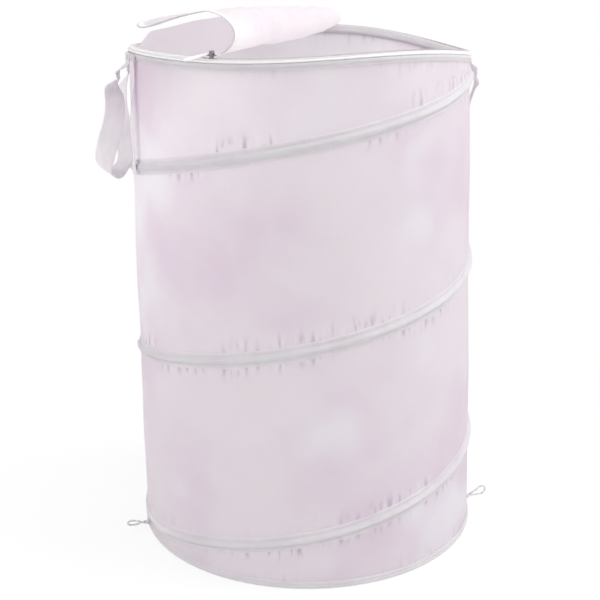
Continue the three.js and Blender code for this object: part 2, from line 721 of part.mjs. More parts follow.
// A handle is a strap sewn down at both ends. Its loop swings about the line through the lower
// ends of the two sewn tails, at the strap's outer face, where the cloth folds. Returns that line.
function makeHandle(side, front, back, loopKnots, loopSteps) {
  const [from, to] = [front, back].map((end) => new THREE.Vector3(...beside(end.leaveAngle, end.leaveOut, leaveDrop)));
  const along = to.clone().sub(from).normalize();
  const outward = new THREE.Vector3(-along.y, along.x, 0);
  if (outward.dot(from) < 0) outward.negate();
  const down = new THREE.Vector3(0, 0, -1);
  const leaving = (point, drop, way) => ({ at: point.clone().addScaledVector(down, drop).toArray(), across: way });
  const alike = (end) => Math.sign(along.dot(new THREE.Vector3(...tangentAt(end.sewnAngle))));
  const tail = (end, point) => [
    { at: beside(end.sewnAngle, strapStandOff, sewnDrop), across: tangentAt(end.sewnAngle) },
    { at: beside(end.sewnAngle, strapStandOff + 1.5, sewnDrop + 8), across: tangentAt(end.sewnAngle) },
    leaving(point, -tailStraight, along.clone().multiplyScalar(alike(end)).toArray()),
    leaving(point, 0, along.clone().multiplyScalar(alike(end)).toArray()),
  ];
  const starts = along.clone().multiplyScalar(front.turned).toArray();
  const ends = along.clone().multiplyScalar(back.turned).toArray();
  const loop = [
    leaving(from, foldGap, starts), leaving(from, foldGap + tailStraight, starts),
    ...loopKnots,
    leaving(to, foldGap + tailStraight, ends), leaving(to, foldGap, ends),
  ];
  add(`handle_${side}_tail_front`, ribbon(tail(front, from), strapWidth, strapThick, tailSteps), strapCloth());
  add(`handle_${side}`, ribbon(loop, strapWidth, strapThick, loopSteps), strapCloth());
  add(`handle_${side}_tail_back`, ribbon(tail(back, to), strapWidth, strapThick, tailSteps), strapCloth());
  makePatch(`handle_${side}_patch_front`, front.sewnAngle, strapWidth);
  makePatch(`handle_${side}_patch_back`, back.sewnAngle, strapWidth);
  const middle = from.clone().addScaledVector(outward, strapThick / 2).addScaledVector(down, foldGap / 2);
  return { at: middle.toArray(), direction: along.toArray() };
}

// The left handle hangs free of the wall as a loop with half a twist
function makeLeftHandle() {
  const knot = (degrees, out, drop, across) => (
    { at: beside(rad(degrees), out * handleReach, drop * handleReach), across });
  return makeHandle('left', { sewnAngle: rad(-162.5), leaveAngle: rad(-164), leaveOut: 14, turned: -1 },
    { sewnAngle: rad(173), leaveAngle: rad(173.2), leaveOut: 7.5, turned: 1 }, [
      knot(-166.2, 0.13, 0.41, [-1, -0.3, 0]),
      knot(-168.3, 0.17, 0.64, [-1, -0.1, 0]),
      knot(-168.8, 0.2, 0.87, [-1, 0, 0]),
      knot(-171.1, 0.19, 1, [-1, 0.35, 0]),
      knot(-173.6, 0.12, 0.98, [-1, 0.3, 0]),
      knot(-174.5, 0.1, 0.84, [-1, 0.1, 0]),
      knot(-176, 0.09, 0.54, [-0.7, 0.6, 0]),
      knot(177.4, 0.06, 0.36, [-0.3, 1, 0]),
    ], 40);
}

// The right handle hangs close to the wall, round the back
function makeRightHandle() {
  const knot = (degrees, out, drop, twist) => {
    const angle = rad(degrees);
    const radial = [Math.cos(angle), Math.sin(angle), 0];
    const across = tangentAt(angle).map((t, i) => t + radial[i] * twist);
    return { at: beside(angle, out * handleReach, drop * handleReach), across };
  };
  return makeHandle('right', { sewnAngle: rad(6), leaveAngle: rad(6), leaveOut: 7, turned: 1 },
    { sewnAngle: rad(35), leaveAngle: rad(35), leaveOut: 7, turned: 1 }, [
      knot(8.5, 0.09, 0.43, 0.2),
      knot(10, 0.08, 0.67, 0.3),
      knot(13, 0.09, 0.89, 0.9),
      knot(19, 0.12, 0.99, 3),
      knot(25, 0.1, 0.9, 0.9),
      knot(28.5, 0.08, 0.67, 0.3),
      knot(32, 0.07, 0.43, 0.2),
    ], 32);
}

// A narrow strap that ties the folded hamper, hanging down the wall beside the left handle
function makeTieStrap() {
  const tangent = tangentAt(tieAngle);
  const radial = [Math.cos(tieAngle), Math.sin(tieAngle), 0];
  const out = 2 * clear + patchThick + tieThick / 2;
  const knot = (off, drop, twist) => (
    { at: beside(tieAngle, out + off, drop), across: tangent.map((t, i) => t + radial[i] * twist) });
  const knots = [
    knot(0, sewnDrop, 0),
    knot(0.4, 0.27 * tieReach, 0),
    knot(2.8, 0.42 * tieReach, 0.3),
    knot(2.2, 0.6 * tieReach, -0.1),
    knot(2, 0.81 * tieReach, 0.15),
    knot(2.4, tieReach, 0),
  ];
  add('tie_strap', ribbon(knots, tieWidth, tieThick, 20), strapCloth());
  makePatch('tie_strap_patch', tieAngle, tieWidth);
  const hinge = beside(tieAngle, out + tieThick / 2, sewnDrop);
  return { at: hinge, direction: tangent.map((t) => -t) };
}

// Cord loops at the foot. Each runs through the tunnel of a small folded tab on the base binding.

function around(angle, r, along, z) {
  return [r * Math.cos(angle) - along * Math.sin(angle), r * Math.sin(angle) + along * Math.cos(angle), z];
}

function loopCurve() {
  const side = [
    [0, loopTabWidth / 2 + 0.4], [2, loopHalfWidth - 0.7], [6, loopHalfWidth],
    [loopReach - 7, loopHalfWidth], [loopReach - 1.3, loopHalfWidth * 0.6],
  ];
  const back = side.map(([out, wide]) => [out, -wide]).reverse();
  const points = [[0, 0], ...side, [loopReach, 0], ...back];
  return new THREE.CatmullRomCurve3(points.map(([out, wide]) => new THREE.Vector3(out, wide, 0)), true);
}

function makeBaseLoop(side, angle, lift) {
  const tunnelOut = loopTunnelRadius + loopTabWall;
  const tabInner = (baseWallRadius + bindingOut) * facet(angle) + clear;
  const profile = [[0, -tunnelOut], [2 * tunnelOut, -tunnelOut], [2 * tunnelOut, tunnelOut], [0, tunnelOut]];
  const hole = polygon(loopTunnelRadius, 8, tunnelOut, 0);
  const onTab = (along, out, up) => around(angle, tabInner + out, along, loopRootHeight + up);
  const tab = sweep([-loopTabWidth / 2, loopTabWidth / 2], profile, onTab, { hole });
  add(`base_loop_tab_${side}`, tab, nylonDouble());

  const curve = loopCurve();
  const stations = fromTo(0, 1, loopSteps).slice(0, loopSteps)
    .map((t) => ({ at: curve.getPointAt(t), ahead: curve.getTangentAt(t) }));
  const onLoop = ({ at, ahead }, u, v) => {
    const out = at.x + ahead.y * u;
    const along = at.y - ahead.x * u;
    const r = tabInner + tunnelOut + out * Math.cos(lift) - v * Math.sin(lift);
    return around(angle, r, along, loopRootHeight + out * Math.sin(lift) + v * Math.cos(lift));
  };
  add(`base_loop_${side}`, sweep(stations, polygon(loopCordRadius, 8), onLoop, { loop: true }), cordCloth());
  return { at: around(angle, tabInner + tunnelOut, 0, loopRootHeight), direction: tangentAt(angle).map((t) => -t) };
}

makeWall();
makeWallSeam();
makeSpiralWire();
makeSpiralChannel();
makeSpiralCap('spiral_cap_low', coilStart + wireEndInset - capLength - rad(0.1), coilStart + wireEndInset - rad(0.1));
makeSpiralCap('spiral_cap_high', coilEnd - wireEndInset + rad(0.1), coilEnd - wireEndInset + capLength + rad(0.1));
makeBasePanel();
makeBaseBinding();
makeHoopWire('base_hoop_wire', baseHoopHeight, onTube);
makeFerrule('base_hoop_ferrule', baseHoopHeight, onTube);
makeRimHem();
makeHoopWire('rim_hoop_wire', -rimHoopDrop, onRim);
makeFerrule('rim_hoop_ferrule', -rimHoopDrop, onRim);
makeRimZip();
makeZipStop('zip_bottom_stop', zipStart - stopHalfAngle - rad(0.1));
makeZipStop('zip_top_stop', zipEnd + stopHalfAngle + rad(0.1));
makeLid();
makeZipHardware();
const leftSwing = makeLeftHandle();
const rightSwing = makeRightHandle();
const tieSwing = makeTieStrap();
const leftLoopSwing = makeBaseLoop('left', rad(-162.4), rad(5));
const rightLoopSwing = makeBaseLoop('right', rad(2), rad(25));

// Where the moving pieces turn, as a point and a direction
function findPivots() {
  const pivots = {
    zip_travel: { at: [-lean, 0, height], direction: [0, 0, 1], turn: zipTo - zipFrom },
    zip_pull_swing: {
      at: [-lean + sliderMiddle * Math.cos(zipFrom), sliderMiddle * Math.sin(zipFrom), height + pinHeight],
      direction: [-Math.cos(zipFrom + pullYaw), -Math.sin(zipFrom + pullYaw), 0],
    },
    handle_left_swing: leftSwing,
    handle_right_swing: { at: rightSwing.at, direction: rightSwing.direction.map((value) => -value) },
    tie_strap_swing: tieSwing,
    base_loop_left_swing: leftLoopSwing,
    base_loop_right_swing: rightLoopSwing,
  };
  for (let k = 1; k <= foldCount; k += 1) {
    const { point, direction } = foldAxis(k);
    const at = point.applyMatrix4(peeled(k - 1)).toArray();
    pivots[`lid_fold_${k}`] = { at, direction: direction.toArray(), turn: foldAngle };
  }
  return pivots;
}

hamper.userData.pivots = findPivots();

export default hamper;
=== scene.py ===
import json
import math

import bmesh
import bpy
import numpy as np
from bpy.props import FloatProperty, FloatVectorProperty, PointerProperty
from mathutils import Matrix, Vector

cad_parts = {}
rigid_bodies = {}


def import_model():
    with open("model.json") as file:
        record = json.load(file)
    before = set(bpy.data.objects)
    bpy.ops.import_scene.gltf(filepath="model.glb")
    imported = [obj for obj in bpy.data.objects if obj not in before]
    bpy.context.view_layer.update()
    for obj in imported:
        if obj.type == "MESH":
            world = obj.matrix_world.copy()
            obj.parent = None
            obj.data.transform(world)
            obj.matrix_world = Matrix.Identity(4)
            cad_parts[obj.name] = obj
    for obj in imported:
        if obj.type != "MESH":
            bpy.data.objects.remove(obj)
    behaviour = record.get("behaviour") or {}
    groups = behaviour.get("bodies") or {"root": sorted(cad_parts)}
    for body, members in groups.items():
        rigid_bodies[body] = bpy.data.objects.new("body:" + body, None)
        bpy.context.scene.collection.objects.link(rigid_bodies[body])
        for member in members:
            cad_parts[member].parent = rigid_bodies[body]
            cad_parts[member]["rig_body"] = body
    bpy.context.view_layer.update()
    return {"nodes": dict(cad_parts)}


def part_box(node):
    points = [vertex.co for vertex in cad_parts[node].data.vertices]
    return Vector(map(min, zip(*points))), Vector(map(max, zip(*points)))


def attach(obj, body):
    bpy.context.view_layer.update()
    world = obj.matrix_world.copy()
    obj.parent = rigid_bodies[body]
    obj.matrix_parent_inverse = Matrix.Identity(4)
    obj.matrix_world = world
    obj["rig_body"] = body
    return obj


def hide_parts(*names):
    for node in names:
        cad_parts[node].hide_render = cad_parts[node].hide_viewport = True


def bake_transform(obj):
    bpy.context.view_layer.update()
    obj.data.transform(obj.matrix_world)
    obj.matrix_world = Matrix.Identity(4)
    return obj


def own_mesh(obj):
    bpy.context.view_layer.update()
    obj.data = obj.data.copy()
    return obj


bl_info = {
    "name": "Pop-up laundry hamper",
    "version": (1, 0, 0),
    "blender": (4, 5, 0),
    "location": "3D View > Sidebar > Hamper",
    "description": "Cloth, zip, straps, wires and cord loops of a pop-up laundry hamper",
    "category": "Add Mesh",
}

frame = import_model()

MM = 0.001
FULL_TURN = 2 * math.pi
ZIP_LINE = (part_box("rim_zip_coil")[0].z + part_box("rim_zip_coil")[1].z) / 2
WALL_LOW, WALL_HIGH = (corner.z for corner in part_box("wall_fabric"))
FOLDS = 4  # the peeled lid turns over in this many equal bends


def linear(value):
    """An sRGB hex value as linear red, green and blue."""
    channels = [(value >> shift & 255) / 255 for shift in (16, 8, 0)]
    return [c / 12.92 if c <= 0.04045 else ((c + 0.055) / 1.055) ** 2.4 for c in channels]


# Sizes and colours that a user would change


def length(name, description, default):
    return FloatProperty(name=name, description=description, default=default, unit="LENGTH", precision=5)


def angle(name, description, degrees):
    return FloatProperty(name=name, description=description, default=math.radians(degrees), unit="ROTATION")


def number(name, description, default):
    return FloatProperty(name=name, description=description, default=default, subtype="FACTOR")


def power(name, description, default):
    return FloatProperty(name=name, description=description, default=default, unit="POWER")


def colour(name, description, value):
    return FloatVectorProperty(name=name, description=description, default=linear(value), subtype="COLOR",
                               size=3, min=0, max=1)


class HamperBody(bpy.types.PropertyGroup):
    rim_radius: length("Rim radius", "Outer face of the wall at the zip line", 213 * MM)
    base_radius: length("Base radius", "Outer face of the wall at the floor", 219.6 * MM)
    lean: length("Lean", "The rim stands this far to one side of the base", 10 * MM)
    cloth: length("Cloth", "Thickness of the nylon, drawn thicker than the real 0.1 mm", 0.5 * MM)
    swell: length("Swell", "The wall swells out this far between two turns of the spiral", 1 * MM)
    swell_fade: length("Swell fade", "The swell dies out over this height at the base and the rim", 70 * MM)
    wave_two: length("Rim wave", "Rise and fall of the rim, twice round", 5.4 * MM)
    wave_two_from: angle("Rim wave from", "Where that wave starts", -88)
    wave_three: length("Second rim wave", "Rise and fall of the rim, three times round", 4.9 * MM)
    wave_three_from: angle("Second rim wave from", "Where that wave starts", -45.4)
    wave_fade: length("Rim wave fade", "The wall takes up the rim's waves over this height", 110 * MM)
    pucker: length("Pucker", "Depth of the small gathers beside the seams", 1.1 * MM)
    slack: length("Slack", "Depth of the wall's broad soft folds", 1.3 * MM)


class HamperSpiral(bpy.types.PropertyGroup):
    top_drop: length("Top drop", "The spiral's line ends this far below the zip line", 34.3 * MM)
    foot_rise: length("Foot rise", "The spiral's line starts this far above the floor", 33.34 * MM)
    tilt: length("Tilt", "Each turn leans up by this much", 5.6 * MM)
    tilt_toward: angle("Tilt toward", "Where a turn leans up", 40)
    start_turn: number("Start", "Turns below the line's top", -2.4)
    end_turn: number("End", "Turns below the line's top", -0.02)
    tail: angle("Tail", "The sleeve runs on this far past its foot", 47)
    tail_ease: angle("Tail ease", "The tail levels out over this angle", 13)
    wire_radius: length("Wire radius", "Radius of the spring wire", 1.5 * MM)
    wire_out: length("Wire out", "Middle of the wire outside the wall", 2.52 * MM)
    sleeve_width: length("Sleeve width", "Width of the tape sewn over the wire", 20 * MM)
    sleeve_crown: length("Sleeve crown", "Top of the sleeve's ridge outside the wall", 4.6 * MM)
    stitch: length("Stitch", "Length from one stitch to the next", 3 * MM)


class HamperHems(bpy.types.PropertyGroup):
    rim_depth: length("Rim hem depth", "Lower edge of the rim's hem below the zip line", 13.2 * MM)
    rim_drop: length("Rim hoop drop", "Middle of the rim's hoop below the zip line", 8.1 * MM)
    base_height: length("Base binding", "Upper edge of the base binding", 9.5 * MM)
    base_rise: length("Base hoop rise", "Middle of the base hoop above the floor", 3 * MM)
    hoop_inset: length("Hoop inset", "Middle of both hoops inside the wall's outer face", 1.8 * MM)
    hoop_radius: length("Hoop wire radius", "Radius of the hoops' wire", 1.6 * MM)
    tube_wide: length("Tube half width", "Half width of the sewn tube round a hoop", 3.6 * MM)
    tube_tall: length("Tube half height", "Half height of the sewn tube round a hoop", 3 * MM)
    ferrule_at: angle("Ferrule", "Where the crimped ferrules sit", 95)


class HamperZip(bpy.types.PropertyGroup):
    zip_from: angle("Zip from", "The slider's place with the lid peeled back", -117)
    zip_to: angle("Zip to", "The slider's place with the lid closed", 77)
    coil_inset: length("Coil inset", "Middle of the rim's coil inside the wall's outer face", 1.2 * MM)
    coil_radius: length("Coil radius", "Outer radius of a zip coil", 0.9 * MM)
    coil_pitch: length("Coil pitch", "From one loop of the coil to the next", 1.5 * MM)
    thread_radius: length("Thread radius", "Radius of the coil's own filament", 0.3 * MM)
    piping_radius: length("Piping radius", "Radius of the piping cord under the zip", 1.2 * MM)
    piping_out: length("Piping out", "Middle of the piping outside the wall's face", 0.6 * MM)
    piping_drop: length("Piping drop", "Middle of the piping below the zip line", 3.76 * MM)
    slider_length: length("Slider length", "Length of the slider along the zip", 10 * MM)
    pin_height: length("Pin height", "Height of the pull's pin above the zip line", 5.2 * MM)
    pull_length: length("Pull length", "Length of the bar pull", 34 * MM)
    pull_yaw: angle("Pull yaw", "The pull lies this far off the zip", 16)
    pull_drop: angle("Pull drop", "The pull hangs this far down", 16)


class HamperLid(bpy.types.PropertyGroup):
    open_toward: angle("Open toward", "The free half points this way", -20)
    fold_radius: length("Fold radius", "Radius of the peeled lid's roll at the front", 25 * MM)
    fold_radius_back: length("Back fold radius", "Radius of the roll at the back", 19.5 * MM)
    fold_total: angle("Fold total", "How far the free half is turned back", 187)
    first_fold: length("First fold", "First bend from the middle, towards the free half", -27 * MM)
    coil_radius: length("Coil ring", "Radius of the lid's zip coil", 209.7 * MM)
    tape_from: length("Tape from", "Inner edge of the lid's zip tape", 202.5 * MM)
    cloth_radius: length("Cloth radius", "Radius of the lid's cloth under its tape", 204.5 * MM)
    slack: length("Slack", "Depth of the lid's soft folds", 2.2 * MM)
    bulge: length("Bulge", "The roll swells out this far at its front end", 12 * MM)
    droop: length("Droop", "The front corner of the part turned back hangs down this far", 5 * MM)
    dome: length("Dome", "The half that stays down puffs up this far", 31 * MM)


class HamperStraps(bpy.types.PropertyGroup):
    width: length("Strap width", "Width of the handles", 26 * MM)
    thick: length("Strap thickness", "Thickness of the handles", 1.6 * MM)
    leave_drop: length("Tail drop", "A handle's sewn tails end this far below the zip line", 32 * MM)
    reach: length("Handle reach", "A handle hangs this far below the zip line", 155 * MM)
    tie_width: length("Tie width", "Width of the tie strap", 15 * MM)
    tie_thick: length("Tie thickness", "Thickness of the tie strap", 1.2 * MM)
    tie_reach: length("Tie reach", "The tie strap hangs this far below the zip line", 150 * MM)
    tie_at: angle("Tie", "Where the tie strap hangs", -156.5)
    cord_radius: length("Cord radius", "Radius of the cord loops at the foot", 1.25 * MM)
    cord_reach: length("Cord reach", "The cord loops stand out this far", 27 * MM)
    cord_half_width: length("Cord half width", "Half width of a cord loop", 5 * MM)


class HamperColours(bpy.types.PropertyGroup):
    nylon: colour("Nylon", "Main colour of the wall", 0xF4F1F3)
    nylon_pale: colour("Pale nylon", "Paler patches of the wall", 0xF6F5F7)
    nylon_rose: colour("Rose nylon", "Warmer patches of the wall", 0xF0E9EF)
    # where the cloth lies double this paler tone is the doubled cloth's own; on the lid, a single layer, it
    # is painted light for the light the lid gets on both sides
    doubled: colour("Doubled nylon", "The lid, and where the cloth lies double", 0xFAF8F9)
    # painted shade: the colour laid into the valleys of the wall's gathers
    fold: colour("Fold", "Valleys between small gathers", 0xDED5DD)
    tape: colour("Tape", "Zip tape, piping and enamel", 0xFBF9FA)
    strap: colour("Strap", "Webbing of the handles", 0xEAE4E9)
    thread: colour("Thread", "Sewing thread", 0xEFE9EE)
    cord: colour("Cord", "Braided cord of the foot loops", 0xC9C6C9)
    # painted shade: the coil is drawn darker grey than the real coil, for the dark lines of shadow along the
    # zip
    coil: colour("Coil", "Nylon coil of the zip", 0xBDB7BC)
    slider: colour("Slider", "Painted slider", 0x77747A)
    steel: colour("Steel", "Spring wire", 0xA3A6A9)
    crimp: colour("Crimp", "Ferrules and zip stops", 0xBFC2C6)
    cap: colour("Cap", "Caps on the wire's ends", 0x2E2D30)


class HamperStage(bpy.types.PropertyGroup):
    floor: length("Floor", "Side of the floor", 12)
    key: power("Key light", "Power of the right soft box", 39)
    kicker: power("Left light", "Power of the left soft box", 10)
    above: power("Top light", "Power of the soft box above", 10.5)
    fill: FloatProperty(name="World light", description="Strength of the even light", default=0.86)
    shadow: number("Shadow", "Share of the floor's shading that the camera sees", 0.2)
    shadow_from: length("Shadow from", "The shading is whole up to this far from the middle", 0.3)
    shadow_to: length("Shadow to", "The shading has gone this far from the middle", 0.75)


GROUPS = {"body": HamperBody, "spiral": HamperSpiral, "hems": HamperHems, "zip": HamperZip, "lid": HamperLid,
          "straps": HamperStraps, "colours": HamperColours, "stage": HamperStage}


def sizes(group):
    return getattr(bpy.context.scene, "hamper_" + group)


# Shape of the tube. Angles run from +X, anticlockwise seen from above.


def smooth(t):
    x = np.clip(t, 0, 1)
    return x * x * (3 - 2 * x)


def stack(x, y, z):
    return np.stack(np.broadcast_arrays(x, y, z), axis=-1).astype(float)


def outward(turn):
    """The level way out from the axis at each turn."""
    return stack(np.cos(turn), np.sin(turn), 0)


def wall_radius(z):
    b = sizes("body")
    return b.base_radius + (b.rim_radius - b.base_radius) * z / ZIP_LINE


def axis_x(z):
    return -sizes("body").lean * z / ZIP_LINE


def on_tube(turn, out, z):
    """Points this far out from the wall's outer face, at height z."""
    r = wall_radius(z) + out
    return stack(axis_x(z) + r * np.cos(turn), r * np.sin(turn), z)


def rim_wave(turn, share=1.0):
    """How far the soft rim rises or falls. Inside the rim the waves die away as a stretched sheet's do."""
    b = sizes("body")
    two = b.wave_two * share ** 2 * np.cos(2 * (turn - b.wave_two_from))
    three = b.wave_three * share ** 3 * np.cos(3 * (turn - b.wave_three_from))
    return two + three


def on_rim(turn, out, up):
    """Points of the rim by their distance above the zip line."""
    points = on_tube(turn, out, ZIP_LINE + up)
    points[..., 2] += rim_wave(turn)
    return points


def around(turn, r, along, z):
    """Points by their distance from the base's middle along a turn, and across it."""
    return stack(r * np.cos(turn) - along * np.sin(turn), r * np.sin(turn) + along * np.cos(turn), z)


def spiral_height(turn):
    """Height of the spiral's line, which levels out past its foot."""
    s = sizes("spiral")
    first = s.start_turn * FULL_TURN
    slope = spiral_pitch() / FULL_TURN
    past = np.maximum(first - turn, 0)
    kept = np.maximum(turn, first)
    top = ZIP_LINE - s.top_drop
    eased = slope * s.tail_ease * (1 - np.exp(-past / s.tail_ease))
    return top + slope * kept - eased + s.tilt * np.cos(kept - s.tilt_toward)


def spiral_pitch():
    s = sizes("spiral")
    return (ZIP_LINE - s.top_drop - s.foot_rise) / -s.start_turn


def spiral_turns():
    s = sizes("spiral")
    return s.start_turn * FULL_TURN, s.end_turn * FULL_TURN


def above_spiral(turn, z):
    """Height above the nearest turn of the spiral, and the spiral's own turn there."""
    first, last = spiral_turns()
    first -= sizes("spiral").tail
    nearest = np.full(np.broadcast(turn, z).shape, 1.0)
    where = np.zeros_like(nearest)
    for k in range(math.floor(first / FULL_TURN) - 1, 2):
        own = turn + FULL_TURN * k
        rise = np.where((own >= first) & (own <= last), z - spiral_height(own), 1.0)
        closer = np.abs(rise) < np.abs(nearest)
        nearest = np.where(closer, rise, nearest)
        where = np.where(closer, own, where)
    return nearest, where


def field(u, v, seed, period=64):
    """A smooth random field from -1 to 1 with one bump for each unit, closed after a period along u."""
    table = np.random.default_rng(seed).uniform(-1, 1, (period, 64))
    u, v = np.broadcast_arrays(u, v)
    i, j = np.floor(u).astype(int), np.floor(v).astype(int)
    s, t = smooth(u - i), smooth(v - j)
    low = table[i % period, j % 64] * (1 - s) + table[(i + 1) % period, j % 64] * s
    high = table[i % period, (j + 1) % 64] * (1 - s) + table[(i + 1) % period, (j + 1) % 64] * s
    return low * (1 - t) + high * t


def ring_field(turn, bumps, v, seed):
    """The same, closed round the tube after this many bumps."""
    return field(turn * bumps / FULL_TURN, v, seed, bumps)


# Meshes


def only(*pieces):
    """Selects these pieces alone, the first one active."""
    bpy.ops.object.select_all(action="DESELECT")
    for piece in pieces:
        piece.select_set(True)
    bpy.context.view_layer.objects.active = pieces[0]


def in_scene(name, data):
    """A new object with this data."""
    made = bpy.data.objects.new(name, data)
    bpy.context.scene.collection.objects.link(made)
    return made


def primitive(kind, **settings):
    """One of Blender's own meshes, with nothing else selected."""
    bpy.ops.object.select_all(action="DESELECT")
    getattr(bpy.ops.mesh, f"primitive_{kind}_add")(**settings)
    return bpy.context.active_object


def grid_piece(name, points, uv=None, round_rows=False, round_columns=False, ends=False, seam=None):
    """A mesh of quads through rows and columns of points, which may close on themselves. seam gives
    each point's UV beside its nearest seam and how much it is gathered."""
    rows, columns = points.shape[:2]
    cells = np.arange(rows - (not round_rows)), np.arange(columns - (not round_columns))
    r, c = np.meshgrid(*cells, indexing="ij")
    corners = [(r, c), (r, c + 1), (r + 1, c + 1), (r + 1, c)]
    index = np.stack([(i % rows) * columns + j % columns for i, j in corners], axis=-1).reshape(-1, 4)
    faces = index.tolist()
    if ends:
        faces += [list(range(columns))[::-1], [(rows - 1) * columns + j for j in range(columns)]]
    piece = mesh_piece(name, points.reshape(-1, 3), faces)
    mesh = piece.data
    if uv is None:
        uv = measured_uv(points, round_rows, round_columns)
    maps = {"Cloth": uv}
    if seam is not None:
        maps["Seam"], gathered = seam
        share = mesh.attributes.new("Gather", "FLOAT", "POINT")
        share.data.foreach_set("value", gathered.ravel().astype(np.float32))
    for key, values in maps.items():
        flat = np.stack([values[i, j] for i, j in corners], axis=-2).reshape(-1, 2)
        layer = mesh.uv_layers.new(name=key)
        filled = np.zeros((len(mesh.loops), 2), np.float32)
        filled[: len(flat)] = flat
        layer.data.foreach_set("uv", filled.ravel())
    return piece


def measured_uv(points, round_rows, round_columns):
    """UV in metres: u along the rows of stations, v across them."""
    if round_rows:
        points = np.concatenate([points, points[:1]], axis=0)
    if round_columns:
        points = np.concatenate([points, points[:, :1]], axis=1)
    along = np.linalg.norm(np.diff(points, axis=0), axis=-1).mean(axis=1)
    across = np.linalg.norm(np.diff(points, axis=1), axis=-1).mean(axis=0)
    u = np.concatenate([[0], np.cumsum(along)])
    v = np.concatenate([[0], np.cumsum(across)])
    return np.stack(np.meshgrid(u, v, indexing="ij"), axis=-1)


def mesh_piece(name, points, faces):
    mesh = bpy.data.meshes.new(name)
    mesh.from_pydata(points.tolist(), [], faces)
    return in_scene(name, mesh)


def apply_modifier(piece, kind, **settings):
    modifier = piece.modifiers.new(kind.title(), kind)
    for key, value in settings.items():
        setattr(modifier, key, value)
    only(piece)
    bpy.ops.object.modifier_apply(modifier=modifier.name)


WELD = 0.01 * MM  # points closer than this become one


def weld(piece, face_out):
    """Makes one of the points that coincide, and turns the faces outwards if asked."""
    work = bmesh.new()
    work.from_mesh(piece.data)
    bmesh.ops.remove_doubles(work, verts=work.verts, dist=WELD)
    if face_out:
        bmesh.ops.recalc_face_normals(work, faces=work.faces)
    work.to_mesh(piece.data)
    work.free()


def tidy_mesh(piece, sharp=40):
    """Welds the piece, turns its faces outwards and shades it smoothly except over sharp edges."""
    weld(piece, True)
    only(piece)
    bpy.ops.object.shade_smooth_by_angle(angle=math.radians(sharp))


def cloth_piece(name, points, thickness, uv=None, round_rows=False, round_columns=False, seam=None):
    """A sheet of cloth through the points, with its thickness."""
    piece = grid_piece(name, points, uv, round_rows, round_columns, seam=seam)
    weld(piece, False)
    apply_modifier(piece, "SOLIDIFY", thickness=thickness, offset=0)
    tidy_mesh(piece)
    return piece


def solid_piece(name, points, closed=False):
    """A solid swept through stations, each a ring of points."""
    piece = grid_piece(name, points, round_rows=closed, round_columns=True, ends=not closed)
    tidy_mesh(piece)
    return piece


def unit(vectors):
    return vectors / np.maximum(np.linalg.norm(vectors, axis=-1, keepdims=True), 1e-12)


def runs(points, closed=False):
    """Which way a line of points runs at each of them."""
    if closed:
        return unit(np.roll(points, -1, axis=0) - np.roll(points, 1, axis=0))
    return unit(np.gradient(points, axis=0))


def square_to(ahead, ways):
    """The ways, turned square to a line that runs ahead."""
    return unit(ways - ahead * np.sum(ways * ahead, axis=-1, keepdims=True))


def run_along(line):
    """How far along a line each of its points lies."""
    return np.concatenate([[0], np.cumsum(np.linalg.norm(np.diff(line, axis=0), axis=1))])


def tube_points(line, toward, radius, sides, closed=False):
    """Rings round a line of points. toward says which way each ring's first corner faces."""
    ahead = runs(line, closed)
    first = square_to(ahead, toward)
    second = np.cross(ahead, first)
    turn = np.arange(sides) * FULL_TURN / sides
    ring = first[:, None] * np.cos(turn)[None, :, None] + second[:, None] * np.sin(turn)[None, :, None]
    return line[:, None] + ring * np.broadcast_to(radius, (len(line), sides))[..., None]


def wire_piece(name, line, radius, closed):
    """Drawn wire: a curve with a round bevel, made a mesh."""
    curve = bpy.data.curves.new(name, "CURVE")
    curve.dimensions = "3D"
    curve.bevel_depth = radius
    curve.bevel_resolution = 3
    curve.use_fill_caps = True
    spline = curve.splines.new("POLY")
    spline.points.add(len(line) - 1)
    spline.points.foreach_set("co", np.column_stack([line, np.ones(len(line))]).ravel())
    spline.use_cyclic_u = closed
    only(in_scene(name, curve))
    bpy.ops.object.convert(target="MESH")
    piece = bpy.context.view_layer.objects.active
    tidy_mesh(piece)
    return piece


STITCH_SIDES = 5
# where a stitch's rings lie: along in lengths of a stitch, and out in radii of the thread
STITCH_RINGS = ((-0.42, -0.4), (-0.2, 0.6), (0.2, 0.6), (0.42, -0.4))
THREAD_RADIUS = 0.26 * MM  # drawn thicker than the real 0.15 mm, so that a seam shows from a step away


